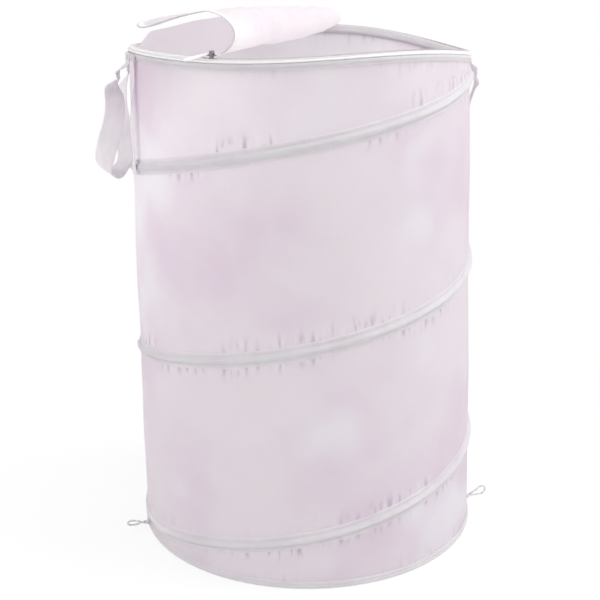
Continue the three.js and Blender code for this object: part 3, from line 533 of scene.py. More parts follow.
def stitch_piece(name, line, out, stitch):
    """A row of stitches along a line of points, lying on a surface that faces out."""
    run = run_along(line)
    count = max(int(run[-1] / stitch), 1)
    middles = (np.arange(count) + 0.5) * run[-1] / count
    at, face, ahead = (np.column_stack([np.interp(middles, run, values[:, k]) for k in range(3)])
                       for values in (line, out, runs(line)))
    face = unit(face)
    ahead = square_to(face, ahead)
    side = np.cross(face, ahead)
    turn = np.arange(STITCH_SIDES) * FULL_TURN / STITCH_SIDES
    rings = []
    for along, lift in STITCH_RINGS:
        across = THREAD_RADIUS * np.cos(turn)
        height = THREAD_RADIUS * (lift + np.sin(turn))
        rings.append(at[:, None] + ahead[:, None] * along * stitch + side[:, None] * across[None, :, None]
                     + face[:, None] * height[None, :, None])
    points = np.stack(rings, axis=1).reshape(-1, 3)
    one = []
    for r in range(len(STITCH_RINGS) - 1):
        for k in range(STITCH_SIDES):
            a, b = r * STITCH_SIDES + k, r * STITCH_SIDES + (k + 1) % STITCH_SIDES
            one.append([a, b, b + STITCH_SIDES, a + STITCH_SIDES])
    last = (len(STITCH_RINGS) - 1) * STITCH_SIDES
    size = len(STITCH_RINGS) * STITCH_SIDES
    faces = (np.array(one)[None] + size * np.arange(count)[:, None, None]).reshape(-1, 4).tolist()
    for k in range(count):
        faces.append([size * k + i for i in range(STITCH_SIDES)][::-1])
        faces.append([size * k + last + i for i in range(STITCH_SIDES)])
    piece = mesh_piece(name, points, faces)
    tidy_mesh(piece, 80)
    return piece


def joined(name, pieces):
    """Several meshes as one piece."""
    only(*pieces)
    bpy.ops.object.join()
    pieces[0].name = name
    return pieces[0]


def sewn(name, rows, body, stitch=None):
    """Stitches of sewing thread. Each row has its line of points and the way that its surface faces."""
    stitch = stitch or sizes("spiral").stitch
    pieces = [stitch_piece(f"{name}_{k}", line, out, stitch) for k, (line, out) in enumerate(rows)]
    return dress(joined(name, pieces), sewing_thread(), body)


def smooth_path(knots, shares, closed=False):
    """A smooth line through the knots, with no loops between uneven ones, at shares of its knots."""
    knots = np.asarray(knots, float)
    count = len(knots)
    spans = count if closed else count - 1
    if closed:
        padded = np.concatenate([knots[-1:], knots, knots[:2]])
    else:
        padded = np.concatenate([2 * knots[:1] - knots[1:2], knots, 2 * knots[-1:] - knots[-2:-1]])
    found = []
    for share in np.atleast_1d(shares):
        i = min(int(share * spans), spans - 1)
        t = share * spans - i
        p0, p1, p2, p3 = padded[i: i + 4]
        gaps = [math.sqrt(np.linalg.norm(b - a)) for a, b in ((p0, p1), (p1, p2), (p2, p3))]
        middle = gaps[1] if gaps[1] > 1e-4 else 1.0
        before, after = (gap if gap > 1e-4 else middle for gap in (gaps[0], gaps[2]))
        leave = (p1 - p0) / before - (p2 - p0) / (before + middle) + (p2 - p1) / middle
        arrive = (p2 - p1) / middle - (p3 - p1) / (middle + after) + (p3 - p2) / after
        leave, arrive = leave * middle, arrive * middle
        found.append((2 * t ** 3 - 3 * t ** 2 + 1) * p1 + (t ** 3 - 2 * t ** 2 + t) * leave
                     + (3 * t ** 2 - 2 * t ** 3) * p2 + (t ** 3 - t ** 2) * arrive)
    return np.array(found)


def dress(piece, material, body=None, stands_for=()):
    """Gives a finished piece its material, the nodes it stands for and the body it rides on."""
    piece.data.materials.clear()
    piece.data.materials.append(material)
    if stands_for:
        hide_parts(*stands_for)
    if body:
        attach(piece, body)
    return piece


def fold_with_wall(piece):
    """Gives the piece its own copy of its mesh."""
    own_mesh(piece)


# Materials


def add_node(tree, kind, settings=None, inputs=None):
    """Adds a node with its settings, and sets or links its inputs by name or number."""
    node = tree.nodes.new(kind)
    for key, value in (settings or {}).items():
        setattr(node, key, value)
    for key, value in (inputs or {}).items():
        socket = node.inputs[key]
        if isinstance(value, bpy.types.NodeSocket):
            tree.links.new(value, socket)
        elif socket.type == "RGBA":
            socket.default_value = (*value, 1)
        else:
            socket.default_value = value
    return node


def new_tree(owner):
    """The owner's empty node tree."""
    owner.use_nodes = True
    owner.node_tree.nodes.clear()
    return owner.node_tree


def made_once(maker):
    """Each material is made on its first use and shared from then on."""
    def found():
        name = maker.__name__.replace("_", " ").capitalize()
        known = bpy.data.materials.get(name)
        if known is None:
            known = bpy.data.materials.new(name)
            maker(new_tree(known), sizes("colours"))
        return known
    return found


def weave_height(tree, warp, weft):
    """Height of a plain weave with these thread spacings, read from UV in metres."""
    uv = add_node(tree, "ShaderNodeUVMap", {"uv_map": "Cloth"}).outputs["UV"]
    heights = []
    for direction, spacing in (("X", warp), ("Y", weft)):
        # A band texture repeats after 2 pi / 20 units at scale 1
        scale = FULL_TURN / (20 * spacing)
        wave = add_node(tree, "ShaderNodeTexWave", {"bands_direction": direction, "wave_profile": "SIN"},
                        {"Vector": uv, "Scale": scale, "Distortion": 0.0})
        heights.append(wave.outputs["Fac"])
    both = add_node(tree, "ShaderNodeMath", {"operation": "MULTIPLY"}, {0: heights[0], 1: heights[1]})
    return both.outputs[0]


def patches(tree, size, low, high, detail=2.0):
    """How far a place is inside patches of this size in metres, fixed to the object, from 0 to 1."""
    where = add_node(tree, "ShaderNodeTexCoord").outputs["Object"]
    noise = add_node(tree, "ShaderNodeTexNoise", None,
                     {"Vector": where, "Scale": 1 / size, "Detail": detail, "Roughness": 0.55})
    share = add_node(tree, "ShaderNodeMapRange", {"interpolation_type": "SMOOTHSTEP"},
                     {"Value": noise.outputs["Fac"], "From Min": low, "From Max": high})
    return share.outputs["Result"]


def gathers(tree, uv_map, along, across):
    """Creases that cross a seam: this far apart along it and this long across it, from UV in metres."""
    uv = add_node(tree, "ShaderNodeUVMap", {"uv_map": uv_map}).outputs["UV"]
    stretched = add_node(tree, "ShaderNodeMapping", None,
                         {"Vector": uv, "Scale": (1 / along, 1 / across, 1.0)})
    noise = add_node(tree, "ShaderNodeTexNoise", {"noise_dimensions": "2D"},
                     {"Vector": stretched.outputs["Vector"], "Scale": 1.0, "Detail": 1.5, "Roughness": 0.5})
    return noise.outputs["Fac"]


def raised(tree, heights):
    """One normal from several heights, each with its depth in metres."""
    normal = None
    for height, depth in heights:
        inputs = {"Height": height, "Distance": depth, "Strength": 1.0}
        if normal is not None:
            inputs["Normal"] = normal
        normal = add_node(tree, "ShaderNodeBump", None, inputs).outputs["Normal"]
    return normal


def toned(tree, first, layers):
    """A colour, with others laid over it by their shares."""
    tone = first
    for share, second in layers:
        tone = add_node(tree, "ShaderNodeMix", {"data_type": "RGBA"},
                        {"Factor": share, 6: tone, 7: second}).outputs[2]
    return tone


def sheer_surface(tree, tone, normal, through, roughness):
    """Cloth that scatters part of the light back and lets part of it through."""
    face = add_node(tree, "ShaderNodeBsdfPrincipled", None,
                    {"Base Color": tone, "Roughness": roughness, "Normal": normal, "Specular IOR Level": 0.3,
                     "Sheen Weight": 0.08, "Sheen Roughness": 0.5})
    light = add_node(tree, "ShaderNodeBsdfTranslucent", None, {"Color": tone, "Normal": normal})
    both = add_node(tree, "ShaderNodeMixShader", None,
                    {"Fac": through, 1: face.outputs["BSDF"], 2: light.outputs["BSDF"]})
    add_node(tree, "ShaderNodeOutputMaterial", None, {"Surface": both.outputs["Shader"]})


def hard_surface(tree, tone, metallic, smoothest, roughest, wear, normal, coat=0.0):
    rough = add_node(tree, "ShaderNodeMapRange", None,
                     {"Value": wear, "To Min": smoothest, "To Max": roughest})
    face = add_node(tree, "ShaderNodeBsdfPrincipled", None,
                    {"Base Color": tone, "Metallic": metallic, "Roughness": rough.outputs["Result"],
                     "Normal": normal, "Coat Weight": coat, "Coat Roughness": 0.2})
    add_node(tree, "ShaderNodeOutputMaterial", None, {"Surface": face.outputs["BSDF"]})


WEAVE = 0.9 * MM  # the real taffeta has a thread every 0.15 mm, too fine to show
WEAVE_DEPTH = 0.03 * MM


@made_once
def woven_nylon(tree, c):
    # Thin plain-woven nylon taffeta: soft satin light, and what lies behind shows through in faint patches.
    # Beside a seam the cloth is gathered into short creases that catch the light: each has a real bump, and
    # its ridges carry painted highlight in the pale colour and its valleys painted shade in the fold colour.
    near = add_node(tree, "ShaderNodeAttribute", {"attribute_name": "Gather"}).outputs["Fac"]
    crease = gathers(tree, "Seam", 7 * MM, 34 * MM)
    ridge = add_node(tree, "ShaderNodeMapRange", {"interpolation_type": "SMOOTHSTEP"},
                     {"Value": crease, "From Min": 0.52, "From Max": 0.66}).outputs["Result"]
    valley = add_node(tree, "ShaderNodeMapRange", {"interpolation_type": "SMOOTHSTEP"},
                      {"Value": crease, "From Min": 0.47, "From Max": 0.33}).outputs["Result"]
    # painted highlight on the gathers' ridges and painted shade in their valleys, laid into the colour
    # beside the seams
    painted_highlight, painted_shade, lifted = (
        add_node(tree, "ShaderNodeMath", {"operation": "MULTIPLY"}, {0: near, 1: share}).outputs[0]
        for share in (ridge, valley, crease))
    tone = toned(tree, c.nylon, [(patches(tree, 210 * MM, 0.42, 0.68, 3.0), c.nylon_rose),
                                 (patches(tree, 130 * MM, 0.52, 0.74), c.nylon_pale),
                                 (painted_highlight, c.nylon_pale), (painted_shade, c.fold)])
    normal = raised(tree, [(weave_height(tree, WEAVE, WEAVE), WEAVE_DEPTH),
                           (patches(tree, 20 * MM, 0.3, 0.7), 0.3 * MM), (lifted, 0.9 * MM)])
    sheer_surface(tree, tone, normal, 0.72, 0.42)


@made_once
def lid_nylon(tree, c):
    # The lid's taffeta, a single layer with light on both sides: painted paler than the wall for that light,
    # softly creased
    tone = toned(tree, c.doubled, [(patches(tree, 100 * MM, 0.5, 0.8), c.nylon_pale)])
    normal = raised(tree, [(weave_height(tree, WEAVE, WEAVE), WEAVE_DEPTH),
                           (patches(tree, 30 * MM, 0.3, 0.7), 0.5 * MM)])
    sheer_surface(tree, tone, normal, 0.8, 0.42)


@made_once
def doubled_nylon(tree, c):
    # The same taffeta lying double in hems and over the wire: denser, crossed by the gathers of its seams
    crease = gathers(tree, "Cloth", 6 * MM, 40 * MM)
    tone = toned(tree, c.doubled, [(patches(tree, 50 * MM, 0.4, 0.7), c.nylon), (crease, c.nylon_pale)])
    normal = raised(tree, [(weave_height(tree, WEAVE, WEAVE), WEAVE_DEPTH), (crease, 0.5 * MM)])
    sheer_surface(tree, tone, normal, 0.62, 0.38)


@made_once
def covered_piping(tree, c):
    # A soft cord in a bias-cut cover: the whitest line of the rim, with faint diagonal drag
    crease = gathers(tree, "Cloth", 4 * MM, 9 * MM)
    tone = toned(tree, c.tape, [(crease, c.doubled)])
    sheer_surface(tree, tone, raised(tree, [(crease, 0.25 * MM)]), 0.25, 0.5)


@made_once
def woven_zip_tape(tree, c):
    # Polyester zip tape: tight twill, whiter and duller than the nylon
    tone = toned(tree, c.tape, [(patches(tree, 10 * MM, 0.35, 0.7, 4.0), c.doubled)])
    normal = raised(tree, [(weave_height(tree, 0.8 * MM, 0.5 * MM), 0.06 * MM)])
    sheer_surface(tree, tone, normal, 0.25, 0.6)


@made_once
def strap_webbing(tree, c):
    # Soft flat webbing: a rib across it every 1.4 mm, limp, a little rosy where it lies in folds
    crease = gathers(tree, "Cloth", 26 * MM, 12 * MM)
    tone = toned(tree, c.strap, [(patches(tree, 30 * MM, 0.35, 0.75), c.nylon_rose), (crease, c.doubled)])
    normal = raised(tree, [(weave_height(tree, 1.4 * MM, 0.9 * MM), 0.12 * MM), (crease, 0.9 * MM)])
    sheer_surface(tree, tone, normal, 0.35, 0.55)


@made_once
def sewing_thread(tree, c):
    # Spun polyester thread: a dull twist with a fine fuzz
    tone = toned(tree, c.thread, [(patches(tree, 2 * MM, 0.3, 0.7), c.nylon)])
    sheer_surface(tree, tone, raised(tree, [(patches(tree, 0.6 * MM, 0.3, 0.7), 0.06 * MM)]), 0.3, 0.7)


@made_once
def braided_cord(tree, c):
    # Braided polyester cord: grey, each strand with its own shade
    tone = toned(tree, c.cord, [(patches(tree, 3 * MM, 0.35, 0.7), c.doubled)])
    sheer_surface(tree, tone, raised(tree, [(patches(tree, 0.7 * MM, 0.3, 0.7), 0.1 * MM)]), 0.1, 0.75)


@made_once
def heat_set_nylon_coil(tree, c):
    # Polyamide monofilament, coiled and heat set: smooth and slightly waxy, drawn grey as painted shade for
    # the dark lines of shadow along the zip
    mottle = patches(tree, 4 * MM, 0.3, 0.7)
    tone = toned(tree, c.coil, [(mottle, c.cord)])
    hard_surface(tree, tone, 0.0, 0.3, 0.44, mottle, raised(tree, [(mottle, 0.03 * MM)]))


@made_once
def painted_zinc(tree, c):
    # Die-cast zinc slider, painted grey: fine orange peel, the paint thinner where it is handled
    wear = patches(tree, 2.2 * MM, 0.55, 0.7, 4.0)
    tone = toned(tree, c.slider, [(wear, c.crimp)])
    peel = patches(tree, 0.8 * MM, 0.3, 0.7)
    hard_surface(tree, tone, 0.4, 0.36, 0.55, wear, raised(tree, [(peel, 0.04 * MM)]))


@made_once
def enamelled_pull(tree, c):
    # Stamped metal bar under thick white enamel: glossy, slightly pooled
    pool = patches(tree, 5 * MM, 0.3, 0.7)
    tone = toned(tree, c.tape, [(pool, c.doubled)])
    hard_surface(tree, tone, 0.0, 0.26, 0.4, pool, raised(tree, [(pool, 0.1 * MM)]), coat=0.3)


@made_once
def drawn_spring_steel(tree, c):
    # Tempered spring wire: bright grey with fine draw marks
    marks = patches(tree, 1.5 * MM, 0.3, 0.7, 4.0)
    tone = toned(tree, c.steel, [(marks, c.crimp)])
    hard_surface(tree, tone, 1.0, 0.27, 0.44, marks, raised(tree, [(marks, 0.02 * MM)]))


@made_once
def pressed_tin_plate(tree, c):
    # Tin-plated sheet, pressed round the wire or the tape: soft silver with tool marks
    marks = patches(tree, 3 * MM, 0.3, 0.7, 3.0)
    tone = toned(tree, c.crimp, [(marks, c.steel)])
    hard_surface(tree, tone, 1.0, 0.3, 0.48, marks, raised(tree, [(marks, 0.08 * MM)]))


@made_once
def dipped_vinyl(tree, c):
    # Vinyl cap dipped onto the wire's end: black, soft gloss
    mottle = patches(tree, 3 * MM, 0.3, 0.7)
    tone = toned(tree, c.cap, [(mottle, c.slider)])
    hard_surface(tree, tone, 0.0, 0.38, 0.55, mottle, raised(tree, [(mottle, 0.05 * MM)]))


# Wall


WALL_COLUMNS = 400
WALL_ROWS = 112
GATHER_STEP = 11 * MM  # from one gather to the next beside the spiral
GATHER_RUN = 95 * MM  # from one gathered stretch to the next
DRAG_HEIGHT = 55 * MM  # height of one slanting pull in the cloth
DRAG_SLANT = 110 * MM  # it moves one place round over this height
BROAD_HEIGHT = 160 * MM  # height of one broad fold
CALM = 30 * MM  # the folds are flat at the spiral and whole this far from it


def wall_offset(turn, z):
    """How far the wall's cloth stands out from its even tube: swelling between the turns, gathered
    beside the spiral, and slack in broad folds."""
    b = sizes("body")
    s = sizes("spiral")
    phase = (z - spiral_height(turn)) / spiral_pitch()
    ends = smooth(z / b.swell_fade) * smooth((ZIP_LINE - z) / b.swell_fade)
    swell = b.swell * ends * np.sin(math.pi * phase) ** 2
    rise, own = above_spiral(turn, z)
    run, side = own * b.rim_radius, np.sign(rise)
    edge = np.maximum(np.abs(rise) - s.sleeve_width / 2, 0)
    gather = field(run / GATHER_STEP, side * 3 + 9.5, 3)
    places = smooth(field(run / GATHER_RUN, side * 5 + 20.5, 7) * 1.6 + 0.3)
    reach = 9 * MM + 7 * MM * field(run / (17 * MM), side + 30.5, 8)
    pucker = b.pucker * gather * places * np.exp(-edge / np.maximum(reach, 3 * MM))
    pucker = pucker * smooth((np.abs(rise) - s.sleeve_width / 3) / (4 * MM))
    drag = field(turn * 22 / FULL_TURN + z / DRAG_SLANT, z / DRAG_HEIGHT + 0.2 * np.sin(turn * 3), 11, 22)
    broad = ring_field(turn, 9, z / BROAD_HEIGHT, 12)
    calm = smooth(np.abs(rise) / CALM) * ends
    return swell + pucker + calm * b.slack * (0.35 * drag + 0.65 * broad)


def wall_points(turn, z, out):
    b = sizes("body")
    lift = rim_wave(turn) * smooth((z - WALL_HIGH + b.wave_fade) / b.wave_fade)
    points = on_tube(turn, out + wall_offset(turn, z + lift), z)
    points[..., 2] += lift
    return points


class HAMPER_OT_wall(bpy.types.Operator):
    """Makes the nylon wall and the binding of its one upright seam"""

    bl_idname = "hamper.wall"
    bl_label = "Wall"

    tuck = 4.5 * MM  # the cloth runs this far up into the rim's hem
    seam_at = math.radians(135)
    seam_width = 12 * MM
    # across the binding as shares of its width, and how far it bows inwards
    seam_profile = ((-0.5, 0.25 * MM), (-0.46, 0.1 * MM), (-0.3, 0), (-0.1, 0.15 * MM),
                    (0.1, 0.15 * MM), (0.3, 0), (0.46, 0.1 * MM), (0.5, 0.25 * MM))
    seam_rows = (-0.36, 0.36)

    def execute(self, context):
        self.cloth()
        self.seam()
        return {"FINISHED"}

    def cloth(self):
        b = sizes("body")
        turn = np.linspace(0, FULL_TURN, WALL_COLUMNS, endpoint=False)[None, :]
        z = np.linspace(WALL_LOW, WALL_HIGH, WALL_ROWS)[:, None]
        points = wall_points(turn, z, -b.cloth / 2)
        top = on_rim(turn, 0.4 * MM, WALL_HIGH - ZIP_LINE + self.tuck)
        points = np.concatenate([points, top], axis=0)
        girth = b.rim_radius * np.linspace(0, FULL_TURN, WALL_COLUMNS + 1)
        rise = np.append(z[:, 0], WALL_HIGH + self.tuck)
        uv = np.stack(np.meshgrid(rise, girth, indexing="ij")[::-1], axis=-1)
        around_it = np.linspace(0, FULL_TURN, WALL_COLUMNS + 1)[None, :]
        beside_seam, gathered = self.gathered_at(around_it, rise[:, None])
        wall = cloth_piece("wall_cloth", points, b.cloth, uv, round_columns=True,
                           seam=(beside_seam, gathered[:, :-1]))
        dress(wall, woven_nylon(), "base", ["wall_fabric"])
        fold_with_wall(wall)

    def seam(self):
        """The binding inside the upright seam, with its two rows of stitches."""
        b = sizes("body")
        across, bow = np.array(self.seam_profile).T
        z = np.linspace(WALL_LOW, WALL_HIGH, 180)[:, None]
        turns = self.seam_at + across[None, :] * self.seam_width / b.rim_radius
        inner = wall_points(turns, z, -b.cloth - 0.55 * MM - bow[None, :])
        binding = cloth_piece("wall_seam_binding", inner, 0.6 * MM)
        dress(binding, woven_zip_tape(), "base", ["wall_seam_tape"])
        fold_with_wall(binding)
        inward = -outward(self.seam_at + 0 * z[:, 0])
        rows = []
        for side in self.seam_rows:
            turn = self.seam_at + side * self.seam_width / b.rim_radius
            rows.append((wall_points(turn, z[:, 0], -b.cloth - 0.95 * MM), inward))
        fold_with_wall(sewn("wall_seam_stitches", rows, "base"))

    def gathered_at(self, turn, z):
        """Each place's run along its nearest seam and distance from it, and how much it is gathered."""
        b = sizes("body")
        h = sizes("hems")
        rise, own = above_spiral(turn, z)
        spiral = np.abs(rise) - sizes("spiral").sleeve_width / 2
        hem = ZIP_LINE - h.rim_depth - z + 0 * turn
        foot = z - h.base_height + 0 * turn
        ordered = np.sort(np.stack([spiral, hem, foot]), axis=0)
        away = ordered[0]
        alone = smooth((ordered[1] - away) / (12 * MM)) * smooth((30 * MM - away) / (10 * MM))
        run = np.where(spiral <= away, own, turn) * b.rim_radius
        over = np.where(spiral <= away, np.sign(rise), 3)
        places = smooth(field(run / (80 * MM), over * 5 + 20.5, 7) * 1.6 + 0.4)
        reach = np.where(over > 0, 11 * MM, 7 * MM) * (1 + 0.5 * field(run / (15 * MM), over + 30.5, 8))
        strength = places * np.where(over == 3, 0.4, 1) * alone
        gathered = np.exp(-(np.maximum(away, 0) / reach) ** 2) * strength
        return np.stack([run, away], axis=-1), gathered


# Spiral


def on_spiral(turn, out, up):
    """Points beside the spiral's line, riding on the cloth of the wall."""
    z = spiral_height(turn) + up
    return on_tube(turn, out, z)


class HAMPER_OT_spiral_sleeve(bpy.types.Operator):
    """Makes the tape that is sewn over the spiral of wire, with its rows of stitches"""

    bl_idname = "hamper.spiral_sleeve"
    bl_label = "Spiral sleeve"

    step = 2.6 * MM
    # across the tape from its middle as a share of half its width, and out as a share of its crown
    profile = ((-1, 0.10), (-0.93, 0.17), (-0.8, 0.19), (-0.62, 0.17), (-0.5, 0.2), (-0.4, 0.33),
               (-0.3, 0.62), (-0.2, 0.86), (-0.1, 0.97), (0, 1), (0.1, 0.97), (0.2, 0.86), (0.3, 0.62),
               (0.4, 0.33), (0.5, 0.2), (0.62, 0.17), (0.8, 0.19), (0.93, 0.17), (1, 0.10))
    rows = (-0.82, -0.56, 0.56, 0.82)

    def execute(self, context):
        s = sizes("spiral")
        half = s.sleeve_width / 2
        foot, last = spiral_turns()
        first = foot - s.tail

        def crown(turn):
            """Height of the ridge, lower on the tail, where no wire runs."""
            return s.sleeve_crown * (0.35 + 0.65 * smooth((turn - first) / (foot - first)))

        girth = sizes("body").rim_radius
        count = int((last - first) * girth / self.step)
        turn = np.linspace(first, last, count)[:, None]
        run = turn * girth
        across, out = np.array(self.profile).T[:, None, :]
        ruffle = field(run / (9 * MM), across * 2 + 9.5, 21)
        ripple = field(run / (24 * MM), across + 4.5, 22)
        edge = smooth((np.abs(across) - 0.45) / 0.5)
        lifted = out * crown(turn) + edge * (0.28 * MM * np.abs(ruffle) + 0.2 * MM * ripple)
        crease = (1 - edge) * 0.3 * MM * field(run / (13 * MM), across * 3 + 20.5, 23)
        uneven = np.sign(across) * 0.5 * MM * field(run / (16 * MM), across + 3.5, 24)
        points = on_spiral(turn, lifted + crease, across * half + edge * uneven)
        sleeve = cloth_piece("spiral_sleeve", points, 0.45 * MM)
        dress(sleeve, doubled_nylon(), "base", ["spiral_channel"])
        fold_with_wall(sleeve)

        rows = []
        turns = np.linspace(first + 0.01, last - 0.01, count)
        for row in self.rows:
            level = np.interp(row, across[0], out[0]) * crown(turns) + 0.42 * MM
            rows.append((on_spiral(turns, level, row * half), outward(turns)))
        fold_with_wall(sewn("spiral_sleeve_stitches", rows, "base"))
        return {"FINISHED"}


class HAMPER_OT_spiral_wire(bpy.types.Operator):
    """Makes the spiral of spring wire and the caps on its ends"""

    bl_idname = "hamper.spiral_wire"
    bl_label = "Spiral wire"

    end_inset = math.radians(3)
    cap_length = math.radians(1.6)
    cap_wall = 0.15 * MM
    cap_swell = (0.55, 0.85, 0.98, 1, 1, 1, 0.98, 0.85, 0.55)

    def execute(self, context):
        s = sizes("spiral")
        first, last = spiral_turns()
        turn = np.linspace(first + self.end_inset, last - self.end_inset, 320)
        wire = wire_piece("spiral_spring_wire", on_spiral(turn, s.wire_out, 0), s.wire_radius, False)
        dress(wire, drawn_spring_steel(), "base", ["spiral_wire"])
        fold_with_wall(wire)
        ends = {"low": first + self.end_inset - self.cap_length, "high": last - self.end_inset}
        for which, start in ends.items():
            turns = np.linspace(start, start + self.cap_length, len(self.cap_swell))
            radius = (s.wire_radius + self.cap_wall) * np.array(self.cap_swell)[:, None]
            rings = tube_points(on_spiral(turns, s.wire_out, 0), outward(turns), radius, 12)
            cap = solid_piece(f"spiral_end_cap_{which}", rings)
            body = frame["nodes"][f"spiral_cap_{which}"]["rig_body"]
            dress(cap, dipped_vinyl(), body, [f"spiral_cap_{which}"])
            if body == "base":
                fold_with_wall(cap)
        return {"FINISHED"}


# Hoops, hems and base


RING_STATIONS = 400


def ring_turns(count=RING_STATIONS):
    return np.linspace(0, FULL_TURN, count, endpoint=False)


def hem_section(flange_end):
    """A hem's cloth from the flange's free edge, round the hoop and back to the wall: out from the
    wall's face, and up from the hoop's middle. flange_end is the free edge's height."""
    h = sizes("hems")
    way = math.copysign(1, flange_end)
    round_hoop = np.radians(np.linspace(-40, 300, 29))
    out = -h.hoop_inset + h.tube_wide * np.cos(round_hoop)
    up = -way * h.tube_tall * np.sin(round_hoop)
    join = way * h.tube_tall
    flange_up = np.array([flange_end, flange_end * 0.85 + join * 0.15, (flange_end + join) / 2,
                          join * 1.25])
    flange_out = np.array([0.75, 0.95, 0.95, 1.1]) * MM
    return np.concatenate([flange_out, out]), np.concatenate([flange_up, up])


class HAMPER_OT_base(bpy.types.Operator):
    """Makes the base panel and the binding that holds its hoop"""

    bl_idname = "hamper.base"
    bl_label = "Base"

    panel_rings = 46
    panel_tuck = 1.2 * MM  # the panel runs this far into the binding
    row_inset = 2.1 * MM  # the stitches run this far below the binding's edge

    def execute(self, context):
        h = sizes("hems")
        turn = ring_turns()[:, None]
        out, up = hem_section(h.base_height - h.base_rise)
        out = np.minimum(out, 1.7 * MM)
        flange = smooth((up - h.tube_tall) / (6 * MM))[None, :]
        gather = ring_field(turn, 120, up[None, :] / (9 * MM) + 5.5, 31)
        out = out[None, :] + flange * 0.4 * MM * np.abs(gather)
        rise = h.base_rise + up[None, :] + flange * 0.5 * MM * ring_field(turn, 60, 3.5, 32)
        points = on_tube(turn, out, np.maximum(rise, 0.3 * MM))
        binding = cloth_piece("base_binding_sleeve", points, 0.5 * MM, round_rows=True)
        dress(binding, doubled_nylon(), "base", ["base_binding"])

        turns = ring_turns(1200)
        row = on_tube(turns, 1.45 * MM, h.base_height - self.row_inset)
        sewn("base_binding_stitches", [(row, outward(turns))], "base")

        self.panel()
        return {"FINISHED"}

    def panel(self):
        b = sizes("body")
        low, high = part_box("base_panel")
        reach = (high.x - low.x) / 2 + self.panel_tuck
        share = np.linspace(0, 1, self.panel_rings)[:, None]
        spread = ring_turns(240)[None, :]
        pulled = 0.45 * MM * ring_field(spread, 40, share * 4, 33) * share ** 3
        height = (low.z + high.z) / 2 + np.clip(pulled, -0.15 * MM, 0.45 * MM)
        panel_points = stack(reach * share * np.cos(spread), reach * share * np.sin(spread), height)
        x, y = panel_points[..., 0], panel_points[..., 1]
        uv = np.stack([np.concatenate([x, x[:, :1]], 1), np.concatenate([y, y[:, :1]], 1)], axis=-1)
        panel = cloth_piece("base_panel_cloth", panel_points, b.cloth, uv, round_columns=True)
        dress(panel, woven_nylon(), "base", ["base_panel"])


class HAMPER_OT_hoops(bpy.types.Operator):
    """Makes the two wire hoops and the ferrules that join their ends"""

    bl_idname = "hamper.hoops"
    bl_label = "Hoops"

    half_angle = math.radians(1.9)
    wall = 0.5 * MM

    def execute(self, context):
        h = sizes("hems")
        places = {"base": (on_tube, h.base_rise), "rim": (on_rim, -h.rim_drop)}
        for body, (place, up) in places.items():
            circle = place(ring_turns(240), -h.hoop_inset, up)
            wire = wire_piece(f"{body}_hoop", circle, h.hoop_radius, True)
            dress(wire, drawn_spring_steel(), body, [f"{body}_hoop_wire"])
            turns = np.linspace(h.ferrule_at - self.half_angle, h.ferrule_at + self.half_angle, 25)
            line = place(turns, -h.hoop_inset, up)
            out = outward(turns)
            pinch = 1 - 0.13 * np.exp(-((np.linspace(-1, 1, 25)[:, None] ** 2 - 0.25) / 0.12) ** 2)
            outer = tube_points(line, out, (h.hoop_radius + self.wall) * pinch, 16)
            lip = tube_points(line[[-1, 0]], out[[-1, 0]], h.hoop_radius + 0.05 * MM, 16)
            ferrule = solid_piece(f"{body}_ferrule", np.concatenate([outer, lip]), closed=True)
            dress(ferrule, pressed_tin_plate(), body, [f"{body}_hoop_ferrule"])
        return {"FINISHED"}


class HAMPER_OT_rim_hem(bpy.types.Operator):
    """Makes the sewn sleeve round the rim's hoop"""

    bl_idname = "hamper.rim_hem"
    bl_label = "Rim hem"

    row_inset = 1.2 * MM  # the stitches run this far above the hem's edge

    def execute(self, context):
        h = sizes("hems")
        turn = ring_turns()[:, None]
        out, up = hem_section(h.rim_drop - h.rim_depth)
        flange = smooth((-up - h.tube_tall) / (5 * MM))[None, :]
        gather = ring_field(turn, 110, up[None, :] / (8 * MM) + 5.5, 41)
        pull = ring_field(turn, 46, 2.5, 42)
        out = out[None, :] + flange * (0.45 * MM * np.abs(gather) + 0.25 * MM * np.abs(pull))
        out = out + (1 - flange) * 0.15 * MM * gather
        up = up[None, :] + flange * 0.8 * MM * pull
        points = on_rim(turn, out, up - h.rim_drop)
        hem = cloth_piece("rim_hem_sleeve", points, 0.5 * MM, round_rows=True)
        dress(hem, doubled_nylon(), "rim", ["rim_hem"])
        turns = ring_turns(1200)
        row = on_rim(turns, 1.6 * MM, self.row_inset - h.rim_depth)
        sewn("rim_hem_stitches", [(row, outward(turns))], "rim")
        return {"FINISHED"}


# Zip


COIL_STEPS = 8  # steps in one loop of the zip's coil
COIL_SIDES = 5


def coil_piece(name, place, run):
    """A nylon zip coil along a line. place gives the line's middle, out and up at shares of its run."""
    z = sizes("zip")
    loops = max(int(run / z.coil_pitch), 1)
    share = np.linspace(0, 1, loops * COIL_STEPS + 1)
    middle, out, up = place(share)
    spin = share[:, None] * loops * FULL_TURN
    reach = z.coil_radius - z.thread_radius
    ray = out * np.cos(spin) + up * np.sin(spin)
    line = middle + reach * ray
    return solid_piece(name, tube_points(line, ray, z.thread_radius, COIL_SIDES))


def rim_coil_place(first, last):
    def place(share):
        turn = first + (last - first) * share
        middle = on_rim(turn, -sizes("zip").coil_inset, 0)
        return middle, outward(turn), stack(0 * turn, 0, 1)
    return place


def rounded_block(size, bevel):
    """A block with rounded edges, in the middle of the frame."""
    block = primitive("cube", size=1)
    block.data.transform(Matrix.Diagonal((*size, 1)))
    apply_modifier(block, "BEVEL", width=bevel, segments=3)
    return block


